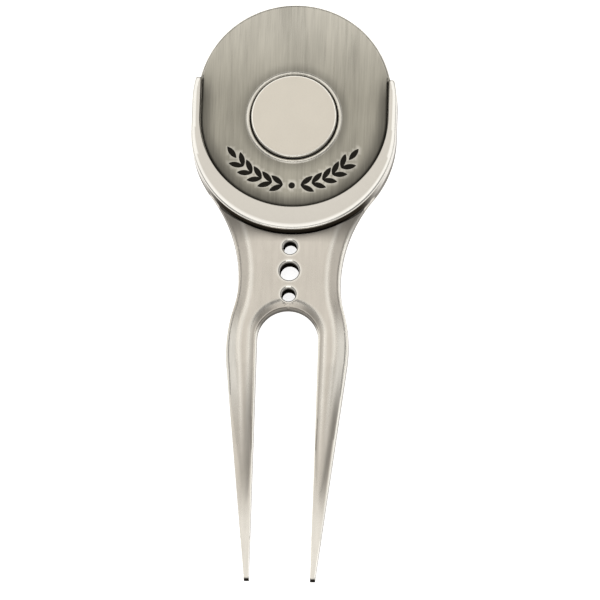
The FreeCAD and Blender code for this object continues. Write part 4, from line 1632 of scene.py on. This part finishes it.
@dataclass
class Studio:
    """Pale floor, soft lights and the camera, which aims from the seat's middle."""

    seat_y: float
    lens: float = 900.0
    sensor: float = 36.0
    frame_width: float = 88.98
    tilt: float = 17.0
    turn: float = 3.0
    roll: float = 1.95
    aim_z: float = 4.75
    aim_shift: tuple[float, float] = (0.92, -27.32)

    def floor(self) -> None:
        """Plain pale floor just under the tool, bright as a light table."""
        mesh = bpy.data.meshes.new("studio_floor")
        half, z = 2.5, -0.00005
        mesh.from_pydata([(-half, -half, z), (half, -half, z), (half, half, z), (-half, half, z)],
                         [], [(0, 1, 2, 3)])
        obj = bpy.data.objects.new("studio_floor", mesh)
        bpy.context.scene.collection.objects.link(obj)
        material = bpy.data.materials.new("white_acrylic_light_table")
        material.use_nodes = True
        tree = material.node_tree
        tree.nodes.clear()
        out = add_node(tree, "OutputMaterial")
        skin = add_node(tree, "BsdfPrincipled", links={
            "Base Color": linear("f2f1ef"), "Roughness": 0.6,
            "Emission Color": linear("ffffff"), "Emission Strength": 0.8})
        tree.links.new(skin.outputs[0], out.inputs["Surface"])
        mesh.materials.append(material)

    def lamp(self, name: str, place: tuple[float, float, float], size: tuple[float, float],
             level: float, warmth: str = "fffefc") -> None:
        """Adds a soft box that faces the tool.

        Args:
            name: Name of the light.
            place: Its middle in metres.
            size: Its width and height in metres.
            level: Brightness of its face, where 1 shows as white.
            warmth: sRGB hex of its colour.
        """
        data = bpy.data.lights.new(name, "AREA")
        data.shape = "RECTANGLE"
        data.size, data.size_y = size
        data.energy = level * math.pi * size[0] * size[1]
        data.color = linear(warmth)[:3]
        obj = bpy.data.objects.new(name, data)
        obj.location = place
        back = Vector(place) - Vector((0, 0, 0.003))
        obj.rotation_mode = "QUATERNION"
        obj.rotation_quaternion = back.to_track_quat("Z", "Y")
        obj.visible_camera = False
        bpy.context.scene.collection.objects.link(obj)

    def lights(self) -> None:
        """Soft boxes overhead, at both sides and in front of the tips, in a dim tent."""
        self.lamp("overhead_box", (-0.08, 0.42, 0.87), (1.3, 0.84), 0.95)
        self.lamp("left_box", (-0.74, 0.22, 0.58), (0.5, 0.5), 0.68)
        self.lamp("right_box", (0.66, 0.2, 0.62), (0.5, 0.5), 0.64)
        self.lamp("low_box", (-0.02, -0.64, 0.72), (0.9, 0.6), 0.8)
        self.lamp("front_strip", (0.0, -0.9, 0.3), (0.8, 0.25), 1.6)
        world = bpy.data.worlds.new("studio_tent")
        world.use_nodes = True
        tree = world.node_tree
        tree.nodes.clear()
        out = add_node(tree, "OutputWorld")
        tent = add_node(tree, "Background", links={"Color": linear("ffffff"), "Strength": 0.42})
        tree.links.new(tent.outputs[0], out.inputs["Surface"])
        bpy.context.scene.world = world

    def camera(self) -> None:
        """Long lens nearly over the tool, a little towards the tips and to its right."""
        tilt, turn, roll = (math.radians(a) for a in (self.tilt, self.turn, self.roll))
        back = Vector((math.sin(turn) * math.cos(tilt), -math.sin(tilt),
                       math.cos(turn) * math.cos(tilt)))
        up = (Vector((0, 1, 0)) - back * back.y).normalized()
        right = up.cross(back)
        right, up = (right * math.cos(roll) + up * math.sin(roll),
                     up * math.cos(roll) - right * math.sin(roll))
        data = bpy.data.cameras.new("studio_camera")
        data.lens = self.lens
        data.sensor_width = self.sensor
        data.clip_start, data.clip_end = 0.05, 20.0
        middle = Vector((0, self.seat_y, self.aim_z)) + right * self.aim_shift[0] + up * self.aim_shift[1]
        away = self.frame_width * self.lens / data.sensor_width
        place = (middle + back * away) * MM
        obj = bpy.data.objects.new("studio_camera", data)
        obj.matrix_world = Matrix((
            (right.x, up.x, back.x, place.x), (right.y, up.y, back.y, place.y),
            (right.z, up.z, back.z, place.z), (0, 0, 0, 1)))
        bpy.context.scene.collection.objects.link(obj)
        bpy.context.scene.camera = obj

    def build(self) -> None:
        """Sets the stage."""
        bpy.context.scene.view_settings.view_transform = "Standard"
        bpy.context.scene.view_settings.look = "None"
        self.floor()
        self.lights()
        self.camera()


def middle_y(node: str) -> float:
    """Middle of a CAD node along the tool in millimetres, to the nearest micrometre."""
    low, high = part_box(node)
    return round((low.y + high.y) / 2 / MM, 3)


def main() -> None:
    """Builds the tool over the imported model."""
    logging.basicConfig(level=logging.INFO, format="%(message)s")
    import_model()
    seat_y = middle_y("ball_marker")
    fork = Fork(seat_y)
    fork.build()
    Cradle(fork).build()
    Rivets("cradle_rivets", "rim_rivets", Body.FORK, fork.rivets, 0.95, (0.05, 0.55),
           0.6, 3.35).build()
    Clip(seat_y).build()
    tongue = Tongue()
    tongue.build()
    Rivets("tongue_rivets", "spring_rivets", Body.CLIP, tongue.rivets, 1.25, (0.05, 0.35),
           0.75, 2.35).build()
    Magnet(seat_y).build()
    Marker(seat_y).build()
    Studio(seat_y).build()


if __name__ == "__main__":
    main()
